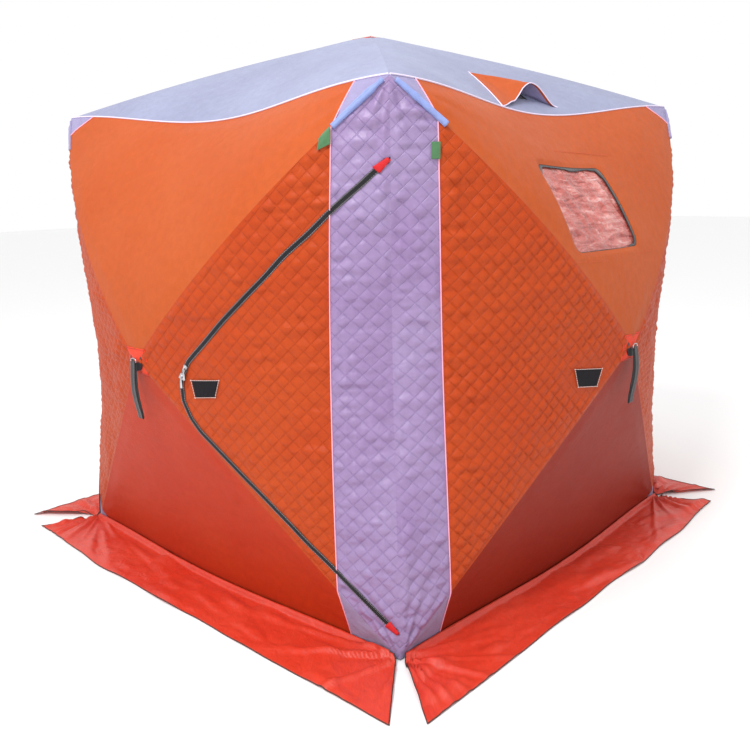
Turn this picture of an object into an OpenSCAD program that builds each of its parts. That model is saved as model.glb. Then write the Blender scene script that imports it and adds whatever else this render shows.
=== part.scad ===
// Pop-up hub shelter for ice fishing: four quilted walls and a roof, each pushed out by a hub
// with four poles, a zipped corner door, and a skirt that lies on the ground.
// The front wall with the door faces -Y, the right wall with the window faces +X.

/* [Shelter] */
// Width and depth of the shelter between its top corners
roof_w = 1800; // [1500:10:2200]
// Width and depth of the shelter between its corners at the ground
base_w = 1864; // [1500:10:2300]
// Height of the top corners above the ground
corner_h = 1798; // [1500:10:2200]
// Height of the wall hubs above the ground
hub_h = 922; // [750:10:1100]
// How far a wall hub stands out from the plane of its corners
wall_bulge = 316; // [200:5:420]
// How far the roof hub stands above the top corners
roof_rise = 305; // [200:5:420]

/* [Fabric tension] */
// Outward bow of the upper wall poles
bow_upper = 78; // [20:1:110]
// Outward bow of the lower wall poles
bow_lower = 4; // [0:1:40]
// Upward bow of the roof poles
bow_roof = 20; // [0:1:60]
// How far the vertical corner edges are pulled inwards at mid height
corner_pull = 99; // [20:1:140]
// How far the top edges are pulled inwards at their middle
edge_pull = 60; // [10:1:90]
// How far the top edges hang down at their middle
edge_drop = 68; // [10:1:100]
// How far the bottom edges bow outwards at their middle
foot_bow = 41; // [0:1:60]

/* [Fabric] */
// Thickness of the quilted wall and roof fabric
fabric_t = 8; // [5:1:10]
// Thickness of sewn patches, tapes and webbing
patch_t = 2; // [1.5:0.5:3]
// Thickness of the skirt fabric
skirt_t = 3; // [2:0.5:5]
// Width of the skirt on the ground
skirt_w = 270; // [200:5:350]
// Distance of a skirt flap's end from the corner, along the wall
slit_w = 14; // [5:1:40]
// How much shorter a skirt flap's outer edge is at each end than the skirt's full square corner
skirt_cut = 76; // [30:2:150]
// Width of the contrast band on each side of the door corner
band_w = 180; // [120:5:220]
// Length of a corner cap along the edges that meet at a top corner
cap_w = 170; // [100:5:220]

/* [Door] */
// Height of the upper end of the door zipper on the corner edge, above the hub
zip_top = 652; // [500:2:720]
// Height of the lower end of the door zipper below the hub
zip_low = 832; // [700:2:860]
// Radius of the zipper's turn near the hub
zip_turn = 171; // [120:1:200]
// Distance from the middle of the wall to the zipper's turn
zip_nose = 191; // [150:1:300]
// Height of the middle of the turn below the hub
zip_turn_drop = 101; // [60:1:160]
// Gap between the door flap and the wall along the zipper
flap_gap = 5; // [5:0.5:8]
// Running gap of the flap at its fold on the corner edge
fold_gap = 0.4; // [0.3:0.1:1]
// Width of one half of the zipper tape
tape_w = 13; // [8:1:20]

/* [Window] */
// Width of the window
window_w = 436; // [300:5:520]
// Height of the window, measured along the vertical
window_h = 298; // [200:5:340]
// Depth of the window's upper edge below the top corners
window_drop = 232; // [150:2:300]
// Sideways shift of the window from the middle of the wall
window_shift = -109; // [-150:5:60]
// Width of the trim around the window
trim_w = 14; // [8:1:25]

/* [Vent] */
// Width of the vent hood at its mouth
hood_w = 430; // [300:5:480]
// Length of the vent hood from its point to its mouth
hood_l = 240; // [180:5:280]
// Height of the hood's mouth above the roof
hood_h = 75; // [40:5:110]
// Distance of the hood's mouth from the roof's edge
hood_setback = 50; // [40:5:150]
// Sideways shift of the hood
hood_shift = -45; // [-100:5:100]
// Width of the roof's opening under the hood
vent_w = 162; // [100:2:200]
// Length of the roof's opening under the hood
vent_l = 87; // [60:1:100]
// Distance of the roof's opening behind the hood's mouth
vent_back = 54; // [40:1:80]

/* [Patches] */
// Width of the patch over a hub
hub_patch_w = 112; // [100:1:140]
// Height of the patch over a wall hub
hub_patch_h = 92; // [88:1:120]
// Width of a wear patch
wear_w = 103; // [60:1:140]
// Height of a wear patch
wear_h = 61; // [40:1:80]
// Depth of a wear patch's upper edge below the hub
wear_drop = 39; // [20:1:60]
// Distance of the door's wear patch from the zipper's turn
wear_in = 42; // [30:1:80]
// Distance of the right wall's wear patch from the middle of the wall
wear_side = 213; // [180:1:300]
// Width of a pull tab
tab_w = 24; // [15:1:40]
// Height of a pull tab
tab_h = 46; // [30:1:60]
// Height of a pull tab's lower edge above the hub
tab_up = 640; // [400:5:680]
// Width of a zipper end tab across the zipper
end_tab_w = 36; // [20:1:50]
// Length of the patch at a corner's foot, measured along the ground
foot_patch_w = 90; // [60:1:120]

/* [Frame] */
// Diameter of a pole
pole_d = 11; // [8:0.5:14]
// Radius of a hub
hub_r = 36; // [25:1:38]
// Depth of a hub
hub_l = 42; // [30:1:60]
// Radius of the ball socket at each corner
socket_r = 20; // [14:1:24]
// Width of the pull strap at a wall hub
strap_w = 33; // [20:1:50]
// Length of the hanging pull strap
strap_l = 225; // [120:5:260]
// Radius of a sleeve over a pole's end
sleeve_r = 9; // [8:0.5:12]
// Length of a sleeve, measured along the roof's edge
sleeve_l = 135; // [80:5:180]

/* [Hidden] */

half_w = roof_w / 2;
seat = 0.3;                    // gap between pieces that rest on each other
lay = 0.6;                     // gap under a patch that is sewn on a curved panel
ground_z = skirt_t + seat;     // height of the walls' lower edge
hub_gap = 4.5;                 // gap between a hub and the panels' opening around it
hub_under = 2.3;               // depth of the roof hub's rim below the roof
hood_lay = 2;                  // gap under the hood's edge on the roof
film_depth = 3;                // depth of the window film and the vent screen
slider_h = 6;
hub_p = (hub_r + hub_gap) / half_w;
band_p = 1 - band_w / half_w;
cap_p = 1 - cap_w / half_w;
turns = 10;                    // panel divisions along an edge
reach = concat(steps(hub_p, band_p, 7), [(1 + band_p) / 2, 1]);
corner_us = [for (s = [0, 1 / 3, 2 / 3, 0.92, 1]) mix(band_p, 1, s)];
pole_depth = fabric_t + pole_d / 2 + 2.5;
socket_depth = fabric_t + socket_r + 2;

// The zipper as a line, an arc and a line, in shares of the wall's half width and half height
up_h = corner_h - hub_h;
down_h = hub_h - ground_z;
zip_r = zip_turn / half_w;
zip_c = [(zip_nose + zip_turn) / half_w, -zip_turn_drop / down_h];
zip_a = [1, zip_top / up_h];
zip_b = [1, -zip_low / down_h];
angle_a = tangent_angle(zip_a, 1);
angle_b = tangent_angle(zip_b, -1);

window_p = [(window_shift - window_w / 2) / half_w, (window_shift + window_w / 2) / half_w];
window_q = [1 - (window_drop + window_h) / up_h, 1 - window_drop / up_h];
hood_q = [(hood_shift - hood_w / 2) / half_w, (hood_shift + hood_w / 2) / half_w];
hood_p = [1 - (hood_setback + hood_l) / half_w, 1 - hood_setback / half_w];
vent_p = [hood_p[1] - (vent_back + vent_l) / half_w, hood_p[1] - vent_back / half_w];
vent_q = [(hood_shift - vent_w / 2) / half_w, (hood_shift + vent_w / 2) / half_w];

// ---- Numbers and lists ----

function steps(a, b, n) = [for (i = [0:n]) a + (b - a) * i / n];

function mix(a, b, t) = a + (b - a) * t;

function unit(v) = v / norm(v);

function reversed(list) = [for (i = [len(list) - 1:-1:0]) list[i]];

// Fabric stretched between two fixed ends: 1 half way, 0 at both ends
function slack(t) = pow(cos(90 * t), 2);

// ---- The surfaces: p runs across a face and q up it, both from -1 to 1, with the hub at 0 ----

// A point of the wall that faces -Y, d below its outer surface
function wall_point(p, q, d) =
    let (
        u = max(abs(p), abs(q)),
        side = abs(p) >= abs(q),
        t = u == 0 ? 0 : (side ? q : p) / u,
        h = corner_h - d,
        z = q >= 0 ? hub_h + q * (h - hub_h) : hub_h + q * (hub_h - ground_z),
        half = base_w / 2 - d + (roof_w - base_w) / 2 * z / h,
        bow = side ? mix(bow_lower, bow_upper, (t + 1) / 2) : q > 0 ? bow_upper : bow_lower,
        corner = side ? corner_pull / sqrt(2) * slack(t) * pow(u, 4) : 0,
        top = !side && q > 0 ? slack(t) * pow(u, 3) : 0,
        foot = !side && q <= 0 ? slack(t) * pow(u, 3) : 0
    )
    [
        p * half - sign(p) * corner,
        -half - wall_bulge * (1 - u) - 4 * bow * u * (1 - u) + corner + edge_pull * top - foot_bow * foot,
        z - edge_drop * top
    ];

// A point of the roof, d below its outer surface
function roof_point(p, q, d) =
    let (
        u = max(abs(p), abs(q)),
        side = abs(p) >= abs(q),
        t = u == 0 ? 0 : (side ? q : p) / u,
        pull = slack(t) * pow(u, 3)
    )
    [
        p * (half_w - d) - (side ? sign(p) * edge_pull * pull : 0),
        q * (half_w - d) - (side ? 0 : sign(q) * edge_pull * pull),
        corner_h - d + roof_rise * (1 - u) + 4 * bow_roof * u * (1 - u) - edge_drop * pull
    ];

function surface_point(g, d, on_roof) =
    on_roof ? roof_point(g[0], g[1], d) : wall_point(g[0], g[1], d);

// ---- Grids of [p, q] ----

// Columns at each u, each divided in n between lo(u) and hi(u)
function columns(us, lo, hi, n) = [for (u = us) [for (v = steps(lo(u), hi(u), n)) [u, v]]];

function swapped(grid) = [for (row = grid) [for (g = row) [g[1], g[0]]]];

function mirrored(grid) = [for (row = grid) [for (g = row) [-g[0], g[1]]]];

function upside_down(grid) = [for (row = grid) [for (g = row) [g[0], -g[1]]]];

// The right-hand triangle of a face, from the hub to its edge
function side_grid(us = reach) = columns(us, function(u) -u, function(u) u, turns);

// The upper triangle, ending at the contrast band where limit is less than 1
function top_grid(limit = 1) =
    swapped(columns(reach, function(u) -u, function(u) min(u, limit), limit < 1 ? turns - 1 : turns));

// Rings between an inner outline and an outer one with as many points
function ring_grid(inner, outer, n) =
    [for (i = [0:len(inner) - 1]) [for (s = steps(0, 1, n)) mix(inner[i], outer[i], s)]];

// Outline of a rectangle, with n[0] to n[3] divisions along bottom, right, top and left
function rectangle(p, q, n) = concat(
    [for (i = [0:n[0] - 1]) [mix(p[0], p[1], i / n[0]), q[0]]],
    [for (i = [0:n[1] - 1]) [p[1], mix(q[0], q[1], i / n[1])]],
    [for (i = [0:n[2] - 1]) [mix(p[1], p[0], i / n[2]), q[1]]],
    [for (i = [0:n[3] - 1]) [p[0], mix(q[1], q[0], i / n[3])]]);

// Outline of the upper triangle, its left side cut at the contrast band where cut is true; it starts
// on the left side, so many rows above the hub
function top_outline(cut, rows = 0) = let (n = len(reach) - 1) concat(
    [for (i = [rows:-1:1]) [-reach[i], reach[i]]],
    [for (p = steps(-hub_p, hub_p, 4)) if (p < hub_p) [p, hub_p]],
    [for (i = [0:n - 1]) [reach[i], reach[i]]],
    [for (t = steps(1, cut ? -band_p : -1, cut ? turns - 1 : turns)) [t, 1]],
    [for (i = [n - 1:-1:rows + 1]) [cut ? max(-reach[i], -band_p) : -reach[i], reach[i]]]);

// ---- The zipper ----

// Direction in which the arc's tangent point for an end of the zipper lies, seen from its centre
function tangent_angle(end, turn) =
    let (v = end - zip_c)
    atan2(v[1], v[0]) + turn * acos(zip_r / norm(v));

function arc_point(angle, off) = zip_c + (zip_r + off) * [cos(angle), sin(angle)];

// A point off outwards from the zipper; s is 0 to 1 on the upper line, to 2 on the arc, to 3 below
function zip_point(s, off) =
    s < 1 ? mix(zip_a, arc_point(angle_a, 0), s) + off * [cos(angle_a), sin(angle_a)]
    : s <= 2 ? arc_point(mix(angle_a, 360 + angle_b, s - 1), off)
    : mix(arc_point(angle_b, 0), zip_b, s - 2) + off * [cos(angle_b), sin(angle_b)];

// Height of the zipper's upper and lower side at p, for a curve that lies off outwards from it
function zip_upper(p, off) =
    let (tangent = arc_point(angle_a, off), slope = -1 / tan(angle_a))
    p > tangent[0] ? tangent[1] + slope * (p - tangent[0])
    : zip_c[1] + sqrt(max(0, pow(zip_r + off, 2) - pow(p - zip_c[0], 2)));

function zip_lower(p, off) =
    let (tangent = arc_point(angle_b, off), slope = -1 / tan(angle_b))
    p > tangent[0] ? tangent[1] + slope * (p - tangent[0])
    : zip_c[1] - sqrt(max(0, pow(zip_r + off, 2) - pow(p - zip_c[0], 2)));

gap_p = flap_gap / 2 / half_w;
fold_p = 1 - fold_gap / half_w;
nose_p = zip_c[0] - zip_r + gap_p;
flap_rows = 12;

// Rows of the door corner edge, so that the pieces that meet there share their points
fold_rows = concat([-1], [zip_lower(1, gap_p)], steps(zip_lower(1, -gap_p), zip_upper(1, -gap_p), flap_rows),
                   steps(zip_upper(1, gap_p), 1, 4));

// ---- Solids ----

// Tells which end of a shell's edge lies further out, so that two neighbours split a quad alike
function further(a, b) = norm([a[0], a[1]]) + a[2] > norm([b[0], b[1]]) + b[2];

// A closed shell between two grids of points; ccw tells how the first grid turns seen from outside
module shell(outer, inner, ring = false, ccw = true) {
    ni = len(outer);
    nj = len(outer[0]);
    n = ni * nj;
    cells = ring ? ni : ni - 1;
    points = concat([for (row = outer) each row], [for (row = inner) each row]);
    sheet = [for (i = [0:cells - 1]) for (j = [0:nj - 2])
        let (a = i * nj + j, b = (i + 1) % ni * nj + j) each [[a, b, b + 1], [a, b + 1, a + 1]]];
    rim = concat(
        [for (i = [0:cells - 1]) [i * nj, (i + 1) % ni * nj]],
        [for (i = [0:cells - 1]) [(i + 1) % ni * nj + nj - 1, i * nj + nj - 1]],
        ring ? [] : [for (j = [0:nj - 2]) [(ni - 1) * nj + j, (ni - 1) * nj + j + 1]],
        ring ? [] : [for (j = [0:nj - 2]) [j + 1, j]]);
    faces = concat(
        sheet,
        [for (f = sheet) [f[2] + n, f[1] + n, f[0] + n]],
        [for (e = rim) each further(points[e[0]], points[e[1]])
            ? [[e[1], e[0], e[0] + n], [e[1], e[0] + n, e[1] + n]]
            : [[e[1], e[0], e[1] + n], [e[0], e[0] + n, e[1] + n]]]);
    polyhedron(points, ccw ? [for (f = faces) reversed(f)] : faces, convexity = 4);
}

// A panel that follows a face between two depths
module panel(grid, d0 = 0, d1 = fabric_t, on_roof = false, ring = false) {
    i = floor(len(grid) / 2) - 1;
    a = grid[i][0];
    turn = cross(grid[i + 1][0] - a, grid[i][1] - a);
    shell([for (row = grid) [for (g = row) surface_point(g, d0, on_roof)]],
          [for (row = grid) [for (g = row) surface_point(g, d1, on_roof)]], ring, turn > 0);
}

// A patch sewn on a face
module patch(grid, on_roof = false, ring = false) {
    panel(grid, -lay - patch_t, -lay, on_roof, ring);
}

// A round rod along a list of points
module rod(path, r, sides = 8) {
    n = len(path);
    rings = [for (i = [0:n - 1])
        let (
            along = unit(path[min(i + 1, n - 1)] - path[max(i - 1, 0)]),
            across = unit(cross(along, abs(along[2]) > 0.9 ? [1, 0, 0] : [0, 0, 1])),
            other = cross(along, across)
        )
        for (k = [0:sides - 1])
            path[i] + r * (across * cos(360 * k / sides) + other * sin(360 * k / sides))];
    walls = [for (i = [0:n - 2]) for (k = [0:sides - 1])
        let (a = i * sides + k, b = i * sides + (k + 1) % sides)
        each [[a, b, b + sides], [a, b + sides, a + sides]]];
    polyhedron(rings, concat(walls, [reversed([for (k = [0:sides - 1]) k])],
                             [[for (k = [0:sides - 1]) (n - 1) * sides + k]]), convexity = 4);
}

module on_wall(k) {
    rotate([0, 0, 90 * k]) children();
}

// ---- Wall panels ----

module side_panel() {
    panel(side_grid());
}

module left_panel() {
    panel(mirrored(side_grid()));
}

module top_panel(limit = 1) {
    panel(top_grid(limit));
}

module bottom_panel(limit = 1) {
    panel(upside_down(top_grid(limit)));
}

// Upper panel with the window cut through it
module window_panel(cut) {
    rows = len([for (u = reach) if (u > hub_p && u < reach[1] / 3 - window_p[0]) u]);
    outline = top_outline(cut, rows);
    sides = len(reach) - 1;
    across = cut ? turns - 1 : turns;
    n = [4 + rows, sides, across, len(outline) - 4 - rows - sides - across];
    panel(ring_grid(rectangle(window_p, window_q, n), outline, 4), ring = true);
}

module front_top() {
    color("#ec7038") top_panel(band_p);
}

module front_left() {
    color("#e15a23") left_panel();
}

module front_bottom() {
    color("#cd411e") bottom_panel(band_p);
}

// The fixed part of the door panel: a C between the zipper and the poles, open at the band
module front_surround() {
    ends = [for (i = [len(reach) - 3:-1:2]) reach[i]];
    n = len(ends) - 1;
    mid = [for (u = [reach[1], hub_p]) [u, u]];
    inner = concat(
        [for (p = steps(band_p, arc_point(angle_a, gap_p)[0], n)) [p, zip_upper(p, gap_p)]],
        [for (i = [1:2 * len(mid) + 1]) zip_point(1 + i / (2 * len(mid) + 2), gap_p)],
        [for (p = steps(arc_point(angle_b, gap_p)[0], band_p, n)) [p, zip_lower(p, gap_p)]]);
    outer = concat([for (u = ends) [u, u]], mid, [[hub_p, 0]],
                   [for (g = reversed(mid)) [g[0], -g[1]]], [for (u = reversed(ends)) [u, -u]]);
    color("#e15a23") panel(ring_grid(inner, outer, 4));
}

module door_corner_upper() {
    color("#b0a0d0") panel(columns(corner_us, function(p) zip_upper(p, gap_p), function(p) p, 4));
}

module door_corner_lower() {
    color("#b0a0d0") panel(columns(corner_us, function(p) -p, function(p) zip_lower(p, gap_p), 1));
}

module door_flap() {
    nose = [for (s = [0.02, 0.08, 0.2, 0.4, 0.65, 1]) mix(nose_p, arc_point(angle_a, 0)[0] + 0.02, s)];
    us = concat(nose, [for (u = steps(nose[5], band_p, 6)) if (u > nose[5]) u]);
    grid = columns(us, function(p) zip_lower(p, -gap_p), function(p) zip_upper(p, -gap_p), flap_rows);
    color("#e15a23") panel(grid);
}

module door_flap_band() {
    color("#a88fc4") panel(columns(steps(band_p, fold_p, 3), function(p) zip_lower(p, -gap_p),
                                   function(p) zip_upper(p, -gap_p), flap_rows));
}

// Trapezoid wear patch whose upper edge starts at p, narrower at its lower edge
function wear_grid(p) =
    let (w = wear_w / half_w, in = 0.12, q = -wear_drop / down_h)
    [for (s = steps(0, 1, 2)) [[p + w * mix(in, 1 - in, s), q - wear_h / down_h], [p + w * s, q]]];

module door_flap_patch() {
    color("#262428") patch(wear_grid(nose_p + wear_in / half_w));
}

module right_band() {
    color("#b0a0d0") on_wall(1)
        panel([for (u = corner_us) [for (f = fold_rows) [-u, u * f]]]);
}

module right_top() {
    color("#ef8048") on_wall(1) window_panel(true);
}

module right_left() {
    us = [for (u = reach) if (u <= band_p + 0.001) u];
    color("#9a4424") on_wall(1)
        panel([for (u = us) [for (f = fold_rows) [-u, u * f]]]);
}

module right_right() {
    color("#b04a28") on_wall(1) side_panel();
}

module right_bottom() {
    color("#963c1e") on_wall(1) mirror([1, 0, 0]) bottom_panel(band_p);
}

module back_top() {
    color("#ec7038") on_wall(2) top_panel();
}

module back_left() {
    color("#e15a23") on_wall(2) left_panel();
}

module back_right() {
    color("#e15a23") on_wall(2) side_panel();
}

module back_bottom() {
    color("#cd411e") on_wall(2) bottom_panel();
}

module left_top() {
    color("#ef8048") on_wall(3) window_panel(false);
}

module left_left() {
    color("#e15a23") on_wall(3) left_panel();
}

module left_right() {
    color("#e15a23") on_wall(3) side_panel();
}

module left_bottom() {
    color("#cd411e") on_wall(3) bottom_panel();
}

// ---- Roof ----

module roof_panel(k) {
    color("#c3cbe6") on_wall(k) panel(upside_down(top_grid()), on_roof = true);
}

module roof_front() {
    roof_panel(0);
}

// The right roof panel is open under the vent hood
module roof_right() {
    outline = [for (g = top_outline(false)) [g[1], -g[0]]];
    sides = len(reach) - 1;
    opening = rectangle(vent_q, vent_p, [4, sides, turns, sides]);
    hole = [for (g = opening) [g[1], vent_q[0] + vent_q[1] - g[0]]];
    color("#c3cbe6") panel(ring_grid(hole, outline, 4), on_roof = true, ring = true);
}

module roof_back() {
    roof_panel(2);
}

module roof_left() {
    roof_panel(3);
}

module vent_screen() {
    inset = seat / half_w;
    grid = columns(steps(vent_p[0] + inset, vent_p[1] - inset, 4), function(u) vent_q[0] + inset,
                   function(u) vent_q[1] - inset, 4);
    color("#3a3438") panel(grid, film_depth, film_depth + patch_t, on_roof = true);
}

// A peaked hood: it rises from its point to an arched mouth that opens down the roof
module vent_hood() {
    tip = 0.08;
    n = 8;
    lower = [for (s = steps(tip, 1, n)) [for (v = steps(-1, 1, n))
        let (
            q = mix(hood_shift / half_w, v < 0 ? hood_q[0] : hood_q[1], abs(v) * s),
            base = roof_point(mix(hood_p[0], hood_p[1], s), q, -hood_lay)
        )
        base + [0, 0, hood_h * s * slack(v)]]];
    upper = [for (row = lower) [for (g = row) g + [0, 0, patch_t]]];
    color("#e8582c") shell(upper, lower);
}

// ---- Window ----

module window_film() {
    inset = seat / half_w;
    panel(columns(steps(window_p[0] + inset, window_p[1] - inset, 6), function(u) window_q[0] + inset,
                  function(u) window_q[1] - inset, 6), film_depth, film_depth + patch_t);
}

module window_films() {
    color("#e9b9a8", 0.6) {
        on_wall(1) window_film();
        on_wall(3) window_film();
    }
}

module window_trim() {
    w = trim_w / half_w;
    n = [6, 6, 6, 6];
    patch(ring_grid(rectangle(window_p, window_q, n),
                    rectangle([window_p[0] - w, window_p[1] + w], [window_q[0] - w, window_q[1] + w], n), 1),
          ring = true);
}

module window_trims() {
    color("#2b2a30") {
        on_wall(1) window_trim();
        on_wall(3) window_trim();
    }
}

// ---- Corners ----

// Upper corner cap on the right-hand side of a wall, in its part on the top or on the side panel
function cap_grid() = let (
        foot = [1, 1 - 1.2 * (1 - cap_p)],
        bend = (cap_p + 0.5 * (1 - cap_p)),
        edge = concat([for (s = steps(0, 1, 3)) mix([cap_p, 1], [bend, bend], s)],
                      [for (s = steps(0, 1, 3)) if (s > 0) mix([bend, bend], foot, s)])
    )
    [for (g = edge) [for (s = [0.06, 0.5, 1]) mix([0.998, 0.998], g - [0.002, 0.002], s)]];

module corner_caps() {
    color("#b0a0d0") {
        for (k = [1:3]) on_wall(k) patch(cap_grid());
        for (k = [0, 2, 3]) on_wall(k) patch(mirrored(cap_grid()));
        panel(cap_inlay());
        on_wall(1) panel(mirrored(cap_inlay()));
    }
}

// The part of the contrast band above the pole, let into the top panel
function cap_inlay() =
    columns([for (u = corner_us) if (u < 1) max(u, band_p + seat / half_w)],
            function(p) p, function(p) 1 - 2 * seat / up_h, 2);

module foot_patches() {
    color("#b0a0d0") {
        panel(upside_down(cap_inlay()));
        on_wall(1) panel(upside_down(mirrored(cap_inlay())));
        for (k = [1:3]) on_wall(k) patch(foot_grid());
        for (k = [0, 2, 3]) on_wall(k) patch(mirrored(foot_grid()));
    }
}

// Small reinforcement at the foot of a corner, on the side panel
function foot_grid() = let (w = foot_patch_w / half_w, in = 0.004)
    [for (p = steps(1 - w, 1 - in, 2)) [[p, in - p], [p, mix(w / 5, w / 3, (1 - p) / w) - p]]];

// ---- Skirt ----

module skirt_flap() {
    slit = 1 - 2 * slit_w / base_w;
    outer_x = base_w / 2 + skirt_w - skirt_cut;
    outer_y = -base_w / 2 - skirt_w;
    grid = [for (t = steps(-slit, slit, turns)) [for (s = steps(0, 1, 3))
        let (foot = wall_point(t, -1, fabric_t), edge = [t / slit * outer_x, outer_y, 0])
        mix([foot[0], foot[1], 0], edge, s)]];
    shell([for (row = grid) [for (g = row) [g[0], g[1], skirt_t]]], grid, ccw = false);
}

module skirt_flaps() {
    color("#de3723") for (k = [0:3]) on_wall(k) skirt_flap();
}

// ---- Zipper ----

function tape_grid(off0, off1) =
    [for (s = concat(steps(0.02, 1, 8), steps(1.05, 1.95, 12), steps(2, 2.98, 8)))
        [zip_point(s, off0), zip_point(s, off1)]];

module zipper_tape() {
    color("#242226") patch(tape_grid(gap_p, gap_p + tape_w / half_w));
}

module zipper_flap_tape() {
    color("#242226") patch(tape_grid(-gap_p - tape_w / half_w, -gap_p));
}

module zipper_sliders() {
    half = 0.045;
    color("#c8c8cc") for (s = [1.3, 1.7])
        panel([for (t = [s - half, s + half]) [for (w = [1, tape_w - 1]) zip_point(t, gap_p + w / half_w)]],
              -2 * lay - patch_t - slider_h, -2 * lay - patch_t);
}

module zipper_end_tabs() {
    start = gap_p + (tape_w + 2) / half_w;
    color("#c8282c") for (s = [[0.02, 0.07], [2.93, 2.98]])
        patch([for (t = s) [zip_point(t, start), zip_point(t, start + end_tab_w / half_w)]]);
}

// ---- Small sewn pieces ----

hub_patch_y = wall_point(0, 0, 0)[1] - 0.1 - patch_t;

module hub_patch() {
    translate([-hub_patch_w / 2, hub_patch_y, hub_h - hub_patch_h / 2])
        cube([hub_patch_w, patch_t, hub_patch_h]);
}

function square_outline(half) = rectangle([-half, half], [-half, half], [2, 2, 2, 2]);

module hub_patches() {
    color("#dc4630") {
        for (k = [0:3]) on_wall(k) hub_patch();
        patch(ring_grid(square_outline(hub_p / 10), square_outline(hub_patch_w / 2 / half_w), 2),
              on_roof = true, ring = true);
    }
}

// A flattened loop of webbing that hangs from the hub patch
module pull_strap() {
    fold = patch_t + 1;
    translate([0, hub_patch_y - seat - fold, hub_h]) rotate([90, 0, 90])
        linear_extrude(strap_w, center = true) hull() {
            circle(fold, $fn = 24);
            translate([0, -strap_l]) circle(fold, $fn = 24);
        }
}

module pull_straps() {
    color("#222126") for (k = [0:3]) on_wall(k) pull_strap();
}

module side_patch() {
    color("#262428") on_wall(1) patch(wear_grid(-(wear_side + wear_w / 2) / half_w));
}

// A tab at p, measured from the middle of the wall
function tab_grid(p) =
    columns(steps(p, p + tab_w / half_w, 2), function(p) tab_up / up_h, function(p) (tab_up + tab_h) / up_h, 2);

module pull_tabs() {
    color("#4a7a4f") {
        patch(tab_grid(band_p - 0.01));
        on_wall(1) patch(mirrored(tab_grid(band_p + 0.03)));
    }
}

// Sleeves over the pole ends at the top corners; at the door corner they lie on the panels themselves
module pole_sleeves() {
    color("#8090c8") for (k = [0:3]) on_wall(k) for (side = [-1, 1])
        let (
            bare = k == 0 && side == 1 || k == 1 && side == -1,
            rise = sleeve_r - 2.4 + (bare ? 0 : patch_t + seat)
        )
        rod([for (u = steps(1 - sleeve_l / half_w, 0.975, 4)) wall_point(side * u, u, -rise)], sleeve_r);
}

// ---- Frame ----

module hubs() {
    color("#34343a") {
        for (k = [0:3]) on_wall(k)
            translate([0, hub_patch_y + patch_t + seat, hub_h]) rotate([-90, 0, 0])
                cylinder(hub_l, r = hub_r, $fn = 48);
        translate([0, 0, roof_point(hub_r / half_w, 0, 0)[2] - hub_under - hub_l])
            cylinder(hub_l, r = hub_r, $fn = 48);
    }
}

// Middle of the ball socket at the top or bottom corner on the right-hand side of a wall
function top_socket() = wall_point(1, 1, socket_depth);

function bottom_socket() =
    let (foot = wall_point(1, -1, socket_depth))
    [foot[0], foot[1], skirt_t + seat + socket_r];

function from_socket(socket, next) = socket + (socket_r + seat) * unit(next - socket);

// A pole along route(u), from just clear of a hub that turns about axis to a corner socket
module pole(route, axis, socket) {
    u = 0.04;
    out = route(u) - route(0);
    flat = out - (out * axis) * axis;
    tilt = abs(unit(route(u) - route(0.75 * u)) * axis);
    first = u * (hub_r + seat + pole_d / 2 * tilt) / norm(flat);
    path = [for (u = steps(first, 0.95, 10)) route(u)];
    rod(concat(path, [from_socket(socket, path[len(path) - 1])]), pole_d / 2);
}

// A pole from the hub to an upper or a lower corner of a wall
module wall_pole(up) {
    pole(function(u) wall_point(u, up ? u : -u, pole_depth), [0, 1, 0], up ? top_socket() : bottom_socket());
}

module wall_poles() {
    color("#8c9096") for (k = [0:3]) on_wall(k) {
        wall_pole(true);
        wall_pole(false);
        mirror([1, 0, 0]) wall_pole(true);
        mirror([1, 0, 0]) wall_pole(false);
    }
}

module roof_poles() {
    color("#8c9096") for (k = [0:3]) on_wall(k)
        pole(function(u) roof_point(u, -u, pole_depth), [0, 0, 1], top_socket());
}

module corner_sockets() {
    color("#34343a") for (k = [0:3]) on_wall(k) {
        translate(top_socket()) sphere(socket_r, $fn = 24);
        translate(bottom_socket()) sphere(socket_r, $fn = 24);
    }
}

front_top();
front_left();
front_surround();
front_bottom();
door_corner_upper();
door_corner_lower();
door_flap();
door_flap_band();
door_flap_patch();
right_band();
right_top();
right_left();
right_right();
right_bottom();
back_top();
back_left();
back_right();
back_bottom();
left_top();
left_left();
left_right();
left_bottom();
roof_front();
roof_right();
roof_back();
roof_left();
vent_hood();
vent_screen();
window_films();
window_trims();
corner_caps();
foot_patches();
skirt_flaps();
zipper_tape();
zipper_flap_tape();
zipper_sliders();
zipper_end_tabs();
hub_patches();
pull_straps();
side_patch();
pull_tabs();
pole_sleeves();
hubs();
wall_poles();
roof_poles();
corner_sockets();
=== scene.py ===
"""Pop-up hub shelter for ice fishing: cloth, zipper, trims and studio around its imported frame."""

import math

import bpy
import numpy as np
from mathutils import Matrix, Vector


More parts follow.
